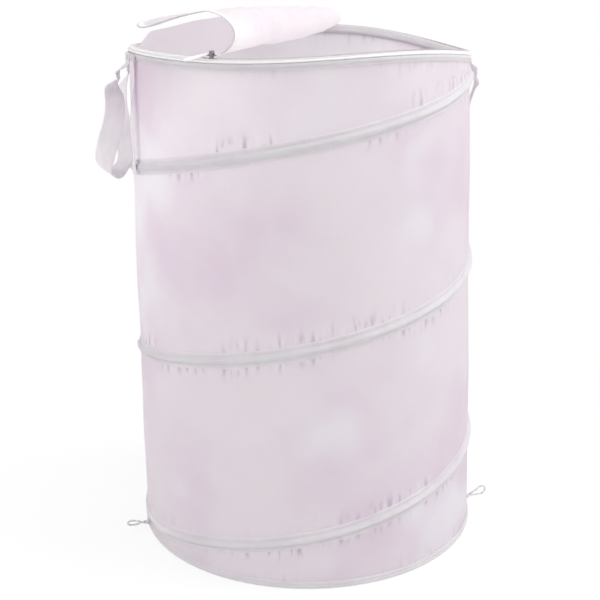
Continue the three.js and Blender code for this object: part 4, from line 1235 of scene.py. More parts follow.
class HAMPER_OT_rim_zip(bpy.types.Operator):
    """Makes the zip's tape, coil and stops on the rim, and the piping cord below it"""

    bl_idname = "hamper.rim_zip"
    bl_label = "Zip on the rim"

    slider_half = math.radians(1.35)
    stop_half = math.radians(0.55)
    stop_gap = math.radians(0.6)
    stop_wide = 3.4 * MM
    stop_tall = 1.8 * MM

    def execute(self, context):
        z = sizes("zip")
        b = sizes("body")
        h = sizes("hems")
        turn = ring_turns()[:, None]
        up = np.linspace(-h.rim_drop + h.tube_tall - 0.6 * MM, -0.9 * MM, 7)[None, :]
        wave = 0.12 * MM * ring_field(turn, 90, up / (3 * MM) + 4.5, 51)
        tape = cloth_piece("rim_tape", on_rim(turn, -z.coil_inset + wave, up), 0.6 * MM, round_rows=True)
        dress(tape, woven_zip_tape(), "rim", ["rim_zip_tape"])

        turns = ring_turns()
        line = on_rim(turns, z.piping_out, -z.piping_drop)
        radius = z.piping_radius * (1 + 0.05 * ring_field(turns[:, None], 180, 1.5, 52))
        rings = tube_points(line, outward(turns), radius, 12, closed=True)
        piping = solid_piece("rim_piping_cord", rings, closed=True)
        dress(piping, covered_piping(), "rim", ["rim_piping"])

        first = z.zip_from - self.slider_half - self.stop_gap
        last = z.zip_to + self.slider_half + self.stop_gap
        coil = coil_piece("rim_coil", rim_coil_place(first, last), (last - first) * b.rim_radius)
        dress(coil, heat_set_nylon_coil(), "rim", ["rim_zip_coil"])
        ends = {"bottom": first - self.stop_half, "top": last + self.stop_half}
        for which, at in ends.items():
            dress(self.stop(which, at), pressed_tin_plate(), "rim", [f"zip_{which}_stop"])
        return {"FINISHED"}

    def stop(self, which, at):
        """A little clip pressed over both tapes."""
        low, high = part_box(f"zip_{which}_stop")
        length_round = 2 * self.stop_half * sizes("body").rim_radius
        stop = rounded_block((self.stop_wide, length_round, self.stop_tall), 0.45 * MM)
        stop.name = f"zip_{which}_clip"
        middle = (low + high) / 2
        middle.z += rim_wave(at)
        stop.data.transform(Matrix.Translation(middle) @ Matrix.Rotation(at, 4, "Z"))
        tidy_mesh(stop)
        return stop


# Lid. x runs from the rim's middle towards the free half, s runs along the fold lines.


# Shares of the zip coil's radius: the roll tightens over this width, it swells from here on over this
# length, and the flap droops about this place, this far round it
ROLL_EASE = 1.4
SWELL_FROM, SWELL_EASE = 0.35, 0.6
DROOP_AT, DROOP_REACH = (0.68, -0.72), 0.3
DOME_STEEP, DOME_BROAD = 17 * MM, 88 * MM  # the lid's puffed half rises over these widths inside the rim
DOME_END, DOME_EASE = -80 * MM, 62 * MM  # it sinks from here on over this width, before the roll


def fold_step():
    """From one bend of the lid to the next."""
    l = sizes("lid")
    return 2 * l.fold_radius * math.tan(l.fold_total / FOLDS / 2)


def lid_points(x, s, up):
    """Points of the peeled lid, from their place on the flat lid and their height above it. The roll is
    tighter at the back, swells at its front end, and always leaves the flap where its hinges put it."""
    l = sizes("lid")
    x, s, up = np.broadcast_arrays(x, s, up)
    total = l.fold_total
    step = fold_step()
    held = ((l.first_fold - step / 2) * (1 - math.cos(total)) + l.fold_radius * math.sin(total)
            - FOLDS * step * math.cos(total))
    backward = smooth(0.5 + s / l.coil_radius / ROLL_EASE)
    radius = l.fold_radius + (l.fold_radius_back - l.fold_radius) * backward
    start = (held - radius * (math.sin(total) - total * math.cos(total))) / (1 - math.cos(total))
    turn = np.clip((x - start) / radius, 0, total)
    past = np.maximum(x - start - radius * total, 0)
    to_front = smooth((-s / l.coil_radius - SWELL_FROM) / SWELL_EASE)
    swell = l.bulge * to_front * np.maximum(np.sin(turn), 0) ** 1.5
    along = np.minimum(x, start) + radius * np.sin(turn) + past * math.cos(total) + swell
    height = radius * (1 - np.cos(turn)) + past * math.sin(total)
    corner = np.hypot(x / l.coil_radius - DROOP_AT[0], s / l.coil_radius - DROOP_AT[1]) / DROOP_REACH
    height = height - l.droop * np.exp(-corner ** 2)
    lift = up + lid_dome(x, s) + rim_wave(np.arctan2(s, x) + l.open_toward, np.hypot(x, s) / l.coil_radius)
    along = along - lift * np.sin(turn)
    height = height + lift * np.cos(turn)
    to_x, to_y = math.cos(l.open_toward), math.sin(l.open_toward)
    return stack(-sizes("body").lean + along * to_x - s * to_y, along * to_y + s * to_x, ZIP_LINE + height)


def lid_dome(x, s):
    """The puffed shape of the half that stays down: steep beside the rim, most at the left and back,
    and gone where the roll starts."""
    l = sizes("lid")
    inside = l.tape_from - np.hypot(x, s)
    rise = 0.52 * smooth(inside / DOME_STEEP) + 0.48 * smooth(inside / DOME_BROAD)
    to_front = smooth((-s / l.coil_radius - 0.1) / 0.75)
    from_left = smooth((x / l.coil_radius + 1.02) / 0.6)
    to_roll = smooth((x - DOME_END) / DOME_EASE)
    return l.dome * rise * (1 - 0.82 * to_front * from_left) * (1 - to_roll)


def lid_borders():
    """Where the lid's pieces meet, half way between two bends."""
    return [sizes("lid").first_fold + (k - 0.5) * fold_step() for k in range(FOLDS + 1)]


def lid_slack(x, s):
    """Soft folds of the lid's cloth, still at its sewn edge."""
    l = sizes("lid")
    inside = smooth((l.cloth_radius - np.hypot(x, s)) / (35 * MM))
    long_folds = field(s / (34 * MM) + 0.4 * np.sin(x / (60 * MM)) + 20, x / (90 * MM) + 9, 61)
    drape = field(s / (80 * MM) + 15, x / (70 * MM) + 8, 62)
    fine = field(s / (13 * MM) + 30, x / (40 * MM) + 12, 63)
    return inside * l.slack * (0.45 * long_folds + 0.45 * drape + 0.12 * fine)


def lid_cloth(name, from_x, to_x, columns, rows):
    """The lid's cloth between two straight lines across it."""
    l = sizes("lid")
    closer = 1.7  # columns stand closer together where the disc narrows to a point
    x = np.linspace(0, 1, columns)
    if from_x <= -l.cloth_radius:
        x = x ** closer
    elif to_x >= l.cloth_radius:
        x = 1 - (1 - x) ** closer
    x = from_x + (to_x - from_x) * x
    reach = np.sqrt(np.maximum(l.cloth_radius ** 2 - x ** 2, 0))[:, None]
    s = reach * np.linspace(-1, 1, rows)[None, :]
    x = np.broadcast_to(x[:, None], s.shape)
    points = lid_points(x, s, lid_slack(x, s) - 0.4 * MM)
    return cloth_piece(name, points, sizes("body").cloth, np.stack([x, s], axis=-1))


def strip_area(from_x, to_x, radius):
    """Area of a disc between two straight lines across it."""
    def below(x):
        t = max(-1.0, min(1.0, x / radius))
        return radius ** 2 * (math.asin(t) + t * math.sqrt(1 - t * t))
    return below(to_x) - below(from_x)


def bend_between(piece, from_x, to_x):
    """Bakes the piece's place into its mesh."""
    start, end = lid_plain(from_x), lid_plain(to_x)
    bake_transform(piece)


def lid_plain(x):
    """The lid's middle line at x without the rim's waves."""
    l = sizes("lid")
    wave = rim_wave(l.open_toward * np.ones(1), abs(x) / l.coil_radius)
    return Vector(lid_points(x, 0.0, -wave)[0])


class HAMPER_OT_lid_cloth(bpy.types.Operator):
    """Makes the lid's cloth: the half that stays down, four bends, and the half turned back"""

    bl_idname = "hamper.lid_cloth"
    bl_label = "Lid cloth"

    rows = 130

    def execute(self, context):
        l = sizes("lid")
        borders = lid_borders()
        fixed = lid_cloth("lid_cloth_fixed", -l.cloth_radius, borders[0], 60, self.rows)
        dress(fixed, lid_nylon(), "rim", ["lid_panel_fixed"])
        self.declare(fixed, -l.cloth_radius, borders[0])
        for k in range(1, FOLDS + 1):
            from_x, to_x = borders[k - 1], borders[k]
            bend = lid_cloth(f"lid_cloth_bend_{k}", from_x, to_x, 25, self.rows)
            stands_for = [f"lid_panel_bend_{k}"] if k < FOLDS else []
            dress(bend, lid_nylon(), None, stands_for)
            bend_between(bend, from_x, to_x)
            self.declare(bend, from_x, to_x)
        flap = lid_cloth("lid_cloth_flap", borders[-1], l.cloth_radius, 60, self.rows)
        dress(flap, lid_nylon(), "lid_flap", ["lid_panel_flap"])
        self.declare(flap, borders[-1], l.cloth_radius)
        return {"FINISHED"}

    def declare(self, piece, from_x, to_x):
        r = sizes("lid").cloth_radius
        area = strip_area(from_x, to_x, r)


class HAMPER_OT_lid_edge(bpy.types.Operator):
    """Makes the lid's edge: sewn down on one half, with zip tape and coil on the other"""

    bl_idname = "hamper.lid_edge"
    bl_label = "Lid edge"

    tape_thick = 0.6 * MM
    tape_to = 208.9 * MM
    free_from = math.radians(95.25)
    sewn_from = math.radians(101.7)
    # across the binding as shares of half its width, and up as shares of half its thickness
    binding = ((-1, 0), (-0.92, 0.7), (-0.7, 0.95), (0, 1), (0.7, 0.95), (0.92, 0.7), (1, 0), (0.92, -0.7),
               (0.7, -0.95), (0, -1), (-0.7, -0.95), (-0.92, -0.7))
    binding_thick = 1.7 * MM
    row_insets = (1.4 * MM, 5.5 * MM)

    def execute(self, context):
        l = sizes("lid")
        self.sewn_edge()
        borders = lid_borders()
        first = l.coil_radius * math.cos(self.free_from)
        for k in range(2, FOLDS + 1):
            from_x = first if k == 2 else borders[k - 1]
            for end, side in (("front", -1), ("back", 1)):
                tape, coil = self.free_edge(f"{k}_{end}", from_x, borders[k], side)
                dress(tape, woven_zip_tape(), None, [f"lid_zip_bend_{k - 1}_{end}"])
                dress(coil, heat_set_nylon_coil())
                for piece in (tape, coil):
                    bend_between(piece, borders[k - 1], borders[k])
        tape, coil = self.flap_edge(borders[-1])
        dress(tape, woven_zip_tape(), "lid_flap", ["lid_zip_flap"])
        dress(coil, heat_set_nylon_coil(), "lid_flap")
        return {"FINISHED"}

    def section(self):
        """The binding's ring: each corner's radius on the flat lid and its height."""
        l = sizes("lid")
        middle, half = (l.tape_from + self.tape_to) / 2, (self.tape_to - l.tape_from) / 2
        ring = np.array(self.binding)
        return middle + ring[None, :, 0] * half, ring[None, :, 1] * self.binding_thick / 2

    def sewn_edge(self):
        l = sizes("lid")
        turn = np.linspace(self.sewn_from, FULL_TURN - self.sewn_from, 230)[:, None]
        lip = sizes("body").rim_radius - sizes("zip").coil_inset
        r = np.array([l.tape_from, l.tape_from + 3 * MM, l.tape_from + 6 * MM,
                      lip - 1.6 * MM, lip - 0.4 * MM, lip, lip])[None, :]
        up = np.array([0.35, 0.45, 0.45, 0.5, 0.35, -0.3, -2.2])[None, :] * MM
        ripple = 0.3 * MM * field(turn * 26, r / (4 * MM), 71) * (r < lip - 0.5 * MM)
        points = lid_points(r * np.cos(turn), r * np.sin(turn), up + ripple)
        piece = cloth_piece("lid_edge_sewn", points, self.tape_thick)
        dress(piece, woven_zip_tape(), "rim", ["lid_edge_fixed"])
        turns = np.linspace(self.sewn_from + 0.01, FULL_TURN - self.sewn_from - 0.01, 600)
        rows = []
        for inset in self.row_insets:
            r = l.tape_from + inset
            line = lid_points(r * np.cos(turns), r * np.sin(turns), 0.8 * MM)
            rows.append((line, stack(0 * turns, 0, 1)))
        sewn("lid_edge_stitches", rows, "rim")

    def free_edge(self, label, from_x, to_x, side):
        l = sizes("lid")
        x = np.linspace(from_x, to_x, 22)[:, None]
        r, up = self.section()
        s = side * np.sqrt(r ** 2 - x ** 2)
        tape = solid_piece(f"lid_tape_bend_{label}", lid_points(x, s, up))

        def place(share):
            at_x = from_x + (to_x - from_x) * share
            return self.coil_frame(at_x, side * np.sqrt(l.coil_radius ** 2 - at_x ** 2))

        run = l.coil_radius * abs(math.acos(from_x / l.coil_radius) - math.acos(to_x / l.coil_radius))
        return tape, coil_piece(f"lid_coil_bend_{label}", place, run)

    def flap_edge(self, from_x):
        l = sizes("lid")
        r, up = self.section()
        share = np.linspace(-1, 1, 260)[:, None]
        turn = share * np.arccos(from_x / r)
        tape = solid_piece("lid_tape_flap", lid_points(r * np.cos(turn), r * np.sin(turn), up))
        widest = math.acos(from_x / l.coil_radius)

        def place(part):
            at = (2 * part - 1) * widest
            return self.coil_frame(l.coil_radius * np.cos(at), l.coil_radius * np.sin(at))

        return tape, coil_piece("lid_coil_flap", place, 2 * widest * l.coil_radius)

    def coil_frame(self, x, s):
        """The coil's middle, and the ways out and up from it, on the peeled lid."""
        middle = lid_points(x, s, 0.0)
        grow = 1 + 1 * MM / sizes("lid").coil_radius
        out = unit(lid_points(x * grow, s * grow, 0.0) - middle)
        return middle, out, unit(lid_points(x, s, 1 * MM) - middle)


# Slider and pull, made at the origin and then carried to the zip


def carried_to_zip(piece):
    z = sizes("zip")
    place = Matrix.Translation((-sizes("body").lean, 0, ZIP_LINE)) @ Matrix.Rotation(z.zip_from, 4, "Z")
    piece.data.transform(place)


def slider_middle():
    return (sizes("lid").coil_radius + sizes("body").rim_radius - sizes("zip").coil_inset) / 2 - 0.6 * MM


class HAMPER_OT_slider(bpy.types.Operator):
    """Makes the zip slider: two waisted plates, their post and the bridge with its pin"""

    bl_idname = "hamper.slider"
    bl_label = "Slider"

    plate = 1.2 * MM
    throat = 2.4 * MM
    under_short = 2.9 * MM  # the lower plate ends this far short of the upper one, clear of the hem
    post = (1.6 * MM, 5 * MM)
    cheek = (0.8 * MM, 4 * MM)
    cheek_off = 2.3 * MM  # the bridge's cheeks stand this far from its middle
    pin = (0.6 * MM, 5.4 * MM)  # radius and length
    bevel = 0.3 * MM

    def execute(self, context):
        z = sizes("zip")
        inner = sizes("lid").coil_radius - 3 * MM
        outer = sizes("body").rim_radius + 1 * MM
        lift = (self.throat + self.plate) / 2
        parts = [self.shield(inner, outer, lift), self.shield(inner, outer - self.under_short, -lift)]
        post = (*self.post, self.throat + 0.4 * MM)
        blocks = [(post, (slider_middle() + 0.5 * MM, 0, 0))]
        for side in (-1, 1):
            cheek = (*self.cheek, z.pin_height + 0.6 * MM)
            blocks.append((cheek, (slider_middle() + side * self.cheek_off, 0, lift + z.pin_height / 2)))
        for size, at in blocks:
            parts.append(rounded_block(size, self.bevel))
            parts[-1].data.transform(Matrix.Translation(at))
        radius, depth = self.pin
        pin = primitive("cylinder", vertices=20, radius=radius, depth=depth)
        pin_at = Matrix.Translation((slider_middle(), 0, z.pin_height))
        pin.data.transform(pin_at @ Matrix.Rotation(math.pi / 2, 4, "Y"))
        parts.append(pin)
        slider = joined("slider_body", parts)
        carried_to_zip(slider)
        tidy_mesh(slider)
        dress(slider, painted_zinc(), "zip_slider", ["zip_slider"])
        return {"FINISHED"}

    def shield(self, inner, outer, z):
        """A plate, wide at the mouths and waisted between them."""
        plate = primitive("grid", x_subdivisions=8, y_subdivisions=12, size=1)
        half = sizes("zip").slider_length / 2
        middle, wide = (inner + outer) / 2, (outer - inner) / 2
        for vertex in plate.data.vertices:
            x, y = vertex.co.x * 2, vertex.co.y * 2
            waist = 1 - 0.16 * math.exp(-(y / 0.35) ** 2) - 0.2 * max(abs(y) - 0.6, 0) ** 2 / 0.16
            dome = 0.35 * MM * (1 - x * x) * math.copysign(1, z)
            vertex.co = (middle + x * wide * waist, y * half * (1 - 0.1 * x * x), z + dome)
        apply_modifier(plate, "SOLIDIFY", thickness=self.plate, offset=0)
        apply_modifier(plate, "BEVEL", width=self.bevel, segments=3, limit_method="ANGLE",
                       angle_limit=math.radians(50))
        return plate


class HAMPER_OT_pull(bpy.types.Operator):
    """Makes the bar pull that hangs on the slider's pin"""

    bl_idname = "hamper.pull"
    bl_label = "Pull"

    thick = 1.6 * MM
    eye_radius = 1.5 * MM
    eye_wire = 0.42 * MM
    root = 1.7 * MM  # the bar starts this far from the pin
    tip = 1.8 * MM  # and is rounded over this length at its end
    half_wide = (0.95 * MM, 1.8 * MM)  # half the bar's width at its root and at its tip

    def execute(self, context):
        z = sizes("zip")
        eye = primitive("torus", major_radius=self.eye_radius, minor_radius=self.eye_wire,
                        major_segments=28, minor_segments=10)
        eye.data.transform(Matrix.Diagonal((1, 1, self.thick / (2 * self.eye_wire), 1)))
        shares = np.linspace(0, 1, 40)
        along = self.root + (z.pull_length - self.root) * shares
        narrow, wide = self.half_wide
        widen = narrow + (wide - narrow) * smooth((shares - 0.1) / 0.6)
        into_tip = np.clip((along - z.pull_length + self.tip) / self.tip, 0, 1)
        blunt = np.sqrt(np.maximum(1 - into_tip ** 2, 0.002))
        turn = np.arange(20) * FULL_TURN / 20
        square = 1 / (np.abs(np.cos(turn)) ** 5 + np.abs(np.sin(turn)) ** 5) ** 0.2
        y = (widen * blunt)[:, None] * (np.cos(turn) * square)[None, :]
        height = self.thick / 2 * (0.55 + 0.45 * blunt)[:, None] * (np.sin(turn) * square)[None, :]
        bar = solid_piece("bar", stack(along[:, None] * np.ones_like(y), y, height))
        pull = joined("pull_bar", [bar, eye])
        pull.data.transform(Matrix.Rotation(math.pi / 2, 4, "X"))
        pull.data.transform(Matrix.Rotation(-math.pi / 2, 4, "Z"))
        hang = Matrix.Rotation(z.pull_yaw, 4, "Z") @ Matrix.Rotation(z.pull_drop, 4, "X")
        pull.data.transform(Matrix.Translation((slider_middle(), 0, z.pin_height)) @ hang)
        carried_to_zip(pull)
        tidy_mesh(pull)
        dress(pull, enamelled_pull(), "zip_pull", ["zip_pull"])
        return {"FINISHED"}


# Straps. A knot gives a point of the middle line and the way across the strap.


HEM_OUT = 1.9 * MM  # the hem's outer face stands this far out from the tube's
GAP = 0.3 * MM  # between hem, patch and strap
PATCH_THICK = 0.9 * MM
PATCH_TOP = 6.4 * MM  # a patch's upper edge below the zip line
PATCH_HEIGHT = 9 * MM
SEWN_DROP = PATCH_TOP + PATCH_HEIGHT / 2
WAVE_REACH = 60 * MM  # a strap follows the rim's waves less and less down to this drop
# a strap's rounded section: across as shares of half its width, and up as shares of its thickness
STRAP_ACROSS = (0.0, 0.35, 0.7, 0.88, 0.97, 1.0)
STRAP_UP = (0.42, 0.42, 0.46, 0.5, 0.36, 0.0)


def beside(turn, out, drop):
    """A point by its angle, its distance out from the tube and its drop below the zip line."""
    return on_tube(turn, HEM_OUT + out, ZIP_LINE - drop + rim_wave(turn) * smooth(1 - drop / WAVE_REACH))


def tangent_at(turn):
    return np.array([-math.sin(turn), math.cos(turn), 0.0])


def strap_stations(knots, count):
    """Middle, across and face of a strap at each station of a smooth line through its knots."""
    shares = np.linspace(0, 1, count)
    middle = smooth_path([at for at, _ in knots], shares)
    across = smooth_path([way for _, way in knots], shares)
    ahead = runs(middle)
    across = square_to(ahead, across)
    return middle, across, np.cross(ahead, across)


def strap_piece(name, stations, width, thick, cup, seed=81):
    """Flat webbing with rounded edges, a little cupped and never quite even."""
    middle, across, face = stations
    half = width / 2
    edge = list(zip(STRAP_ACROSS, STRAP_UP))
    upper = [(-across, up) for across, up in edge[::-1]] + edge[1:]
    lower = [(across, -up) for across, up in upper[-2:0:-1]]
    section = np.array(upper + lower)
    run = run_along(middle)[:, None]
    u = section[:, 0][None, :] * half * (1 + 0.02 * field(run / (21 * MM), 3.5, seed))
    bend = (section[:, 0][None, :] ** 2 - 0.4) * cup
    ripple = 0.35 * MM * field(run / (14 * MM), section[:, 0][None, :] * 1.4 + 8, seed + 1)
    v = section[:, 1][None, :] * thick + bend + ripple
    points = middle[:, None] + across[:, None] * u[..., None] + face[:, None] * v[..., None]
    return solid_piece(name, points)


class HAMPER_OT_handles(bpy.types.Operator):
    """Makes the left and right carrying handles, their sewn tails and their patches"""

    bl_idname = "hamper.handles"
    bl_label = "Handles"

    fold_gap = 0.8 * MM  # the loop starts this far below its hinge line
    straight = 4 * MM  # the strap runs straight down for this long on both sides of it
    hinge_reach = 8 * MM  # hinge_reach = 8 * MM # the fold pieces reach this far above and below its hinge line
    parts = ("sewn_front", "fold_front", "loop", "fold_back", "sewn_back")
    cup = 0.5 * MM
    # angle in degrees, out and down as shares of the handle's reach, and the way across or its twist
    left_knots = ((-165, 0.14, 0.3, (-0.5, -1, 0)), (-165.8, 0.12, 0.42, (-1, -0.7, 0)),
                  (-166.6, 0.13, 0.56, (-1, -0.35, 0)), (-168, 0.178, 0.74, (-1, -0.1, 0)),
                  (-168.8, 0.22, 0.9, (-1, 0.35, 0)), (-170.2, 0.222, 0.985, (-0.8, 0.9, 0.2)),
                  (-174.8, 0.15, 1.035, (-0.1, 1, 0.3)), (-179.9, 0.085, 0.99, (-0.8, 0.9, 0.2)),
                  (177.6, 0.066, 0.9, (-1, 0.3, 0)), (177.3, 0.082, 0.8, (-1, 0.15, 0)),
                  (177, 0.11, 0.66, (-1, 0.15, 0)), (176.4, 0.12, 0.5, (-0.9, 0.5, 0)),
                  (175, 0.09, 0.36, (-0.5, 0.9, 0)))
    right_knots = ((8, 0.085, 0.33, 0.2), (11.5, 0.045, 0.6, 0.3), (14, 0.04, 0.86, 0.9),
                   (19, 0.05, 0.98, 3), (25, 0.045, 0.88, 0.9), (29.5, 0.045, 0.62, 0.3),
                   (33, 0.06, 0.38, 0.2))
    # sewn angle, angle where the tail ends, how far out it ends, which way round the strap starts
    left_ends = ((-162.5, -164, 14 * MM, -1), (173, 173.2, 7.5 * MM, 1))
    right_ends = ((6, 6, 7 * MM, 1), (35, 35, 7 * MM, 1))

    def execute(self, context):
        reach = sizes("straps").reach
        left = [(beside(math.radians(a), o * reach, d * reach), np.array(way, float))
                for a, o, d, way in self.left_knots]
        right = []
        for a, o, d, twist in self.right_knots:
            turn = math.radians(a)
            way = tangent_at(turn) + twist * outward(turn)
            right.append((beside(turn, o * reach, d * reach), way))
        self.handle("left", self.left_ends, left)
        self.handle("right", self.right_ends, right)
        return {"FINISHED"}

    def handle(self, side, ends, loop_knots):
        st = sizes("straps")
        points = [beside(math.radians(leave), out, st.leave_drop) for _, leave, out, _ in ends]
        along = unit(points[1] - points[0])
        down = np.array([0, 0, -1.0])
        tails = []
        stand_off = 2 * GAP + PATCH_THICK + st.thick / 2
        for (angle_sewn, _, _, _), point in zip(ends, points):
            turn = math.radians(angle_sewn)
            tangent = tangent_at(turn)
            level = along * math.copysign(1, along @ tangent)
            tails.append([(beside(turn, stand_off, SEWN_DROP - PATCH_HEIGHT / 2), tangent),
                          (beside(turn, stand_off, SEWN_DROP), tangent),
                          (beside(turn, stand_off + 1.5 * MM, SEWN_DROP + 8 * MM), tangent),
                          (point - down * self.straight, level), (point, level)])
        high, low = down * self.fold_gap, down * (self.fold_gap + self.straight)
        ways = [along * turned for _, _, _, turned in ends]
        loop = [(points[0] + high, ways[0]), (points[0] + low, ways[0]), *loop_knots,
                (points[1] + low, ways[1]), (points[1] + high, ways[1])]
        front = strap_stations(tails[0], 26)
        back = tuple(a[::-1] for a in strap_stations(tails[1], 26))
        self.split(side, ends, self.one_strap([front, strap_stations(loop, 150), back]))

    def one_strap(self, stretches):
        """Joins stretches of stations, each turned the way the last one ended."""
        done = list(stretches[0][:2])
        for middle, across, _ in stretches[1:]:
            if across[0] @ done[1][-1] < 0:
                across = -across
            done = [np.concatenate(pair) for pair in zip(done, (middle, across))]
        middle, across = done
        ahead = runs(middle)
        across = square_to(ahead, across)
        return middle, across, np.cross(ahead, across)

    def split(self, side, ends, whole):
        """Cuts the strap into its sewn tails, the two folds at the hinge line, and the hanging loop."""
        st = sizes("straps")
        drop = ZIP_LINE - whole[0][:, 2]
        body = f"handle_{side}"
        deepest = int(np.argmax(drop))
        upper = st.leave_drop - self.hinge_reach
        lower = st.leave_drop + self.hinge_reach
        down, up = drop[:deepest], drop[deepest:]
        cuts = [int(np.argmax(down > upper)), int(np.argmax(down > lower)),
                deepest + int(np.argmax(up < lower)), deepest + int(np.argmax(up < upper))]
        pieces = []
        for part, first, last in zip(self.parts, [0, *cuts], [*cuts, len(drop) - 1]):
            stations = tuple(a[first:last + 1] for a in whole)
            pieces.append(strap_piece(f"{body}_{part}", stations, st.width, st.thick, self.cup))
        sewn_front, fold_front, loop, fold_back, sewn_back = pieces
        dress(sewn_front, strap_webbing(), "rim", [f"{body}_tail_front"])
        dress(sewn_back, strap_webbing(), "rim", [f"{body}_tail_back"])
        dress(loop, strap_webbing(), body, [body])
        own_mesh(loop)
        for fold, first in ((fold_front, cuts[0]), (fold_back, cuts[2])):
            dress(fold, strap_webbing())
            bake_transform(fold)
        for end, (angle_sewn, _, _, _) in zip(("front", "back"), ends):
            sew_patch(f"{body}_patch_{end}", math.radians(angle_sewn), st.width, st.thick)


BOX_INSET = (2.5 * MM, 1.3 * MM)  # the box of stitches stands in from the patch's sides and ends
BOX_STITCH = 2.2 * MM


def sew_patch(node, turn, width, thick):
    """A backing patch between hem and strap, and the box of stitches through both."""
    b = sizes("body")
    tangent = tangent_at(turn)
    radial = outward(turn)
    foot = np.array([-b.lean, 0, ZIP_LINE - SEWN_DROP + float(rim_wave(turn))])
    back = foot + radial * (b.rim_radius + HEM_OUT + GAP + PATCH_THICK / 2)
    across = np.linspace(-0.5, 0.5, 22)[:, None] * (width + 1.5 * MM)
    up = np.linspace(-0.5, 0.5, 10)[None, :] * PATCH_HEIGHT
    bow = 0.2 * MM * field(across / (6 * MM) + 9, up / (4 * MM) + 9, 91)
    points = back + across[..., None] * tangent + stack(0, 0, up + 0 * across) + bow[..., None] * radial
    patch = cloth_piece(node + "_backing", points, PATCH_THICK * 0.8)
    dress(patch, strap_webbing(), "rim", [node])
    face = foot + radial * (b.rim_radius + HEM_OUT + 2 * GAP + PATCH_THICK + thick + 0.15 * MM)
    half_w, half_h = width / 2 - BOX_INSET[0], PATCH_HEIGHT / 2 - BOX_INSET[1]
    corners = [(-half_w, -half_h), (half_w, -half_h), (half_w, half_h), (-half_w, half_h)]
    rows = []
    for start, end in ((0, 1), (1, 2), (2, 3), (3, 0), (0, 2), (3, 1)):
        u, v = np.linspace(corners[start], corners[end], 12).T
        line = face + np.outer(u, tangent) + np.outer(v, (0, 0, 1.0))
        rows.append((line, np.tile(radial, (12, 1))))
    sewn(node + "_stitches", rows, "rim", BOX_STITCH)


class HAMPER_OT_tie_strap(bpy.types.Operator):
    """Makes the narrow strap that ties the folded hamper"""

    bl_idname = "hamper.tie_strap"
    bl_label = "Tie strap"

    # how far off its sewn place, down as a share of its reach, and the twist
    knots = ((0.4 * MM, 0.27, 0), (2.8 * MM, 0.42, 0.3), (2.2 * MM, 0.6, -0.1), (2 * MM, 0.81, 0.15),
             (2.4 * MM, 1, 0))
    cup = 0.4 * MM

    def execute(self, context):
        st = sizes("straps")
        turn = st.tie_at
        radial = outward(turn)
        out = 2 * GAP + PATCH_THICK + st.tie_thick / 2
        tangent = tangent_at(turn)
        knots = [(beside(turn, out, SEWN_DROP - 4 * MM), tangent), (beside(turn, out, SEWN_DROP), tangent)]
        for off, down, twist in self.knots:
            knots.append((beside(turn, out + off, down * st.tie_reach), tangent + radial * twist))
        stations = strap_stations(knots, 110)
        strap = strap_piece("tie_strap_webbing", stations, st.tie_width, st.tie_thick, self.cup, 85)
        dress(strap, strap_webbing(), "tie_strap", ["tie_strap"])
        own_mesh(strap)
        sew_patch("tie_strap_patch", turn, st.tie_width, st.tie_thick)
        return {"FINISHED"}


# Cord loops at the foot


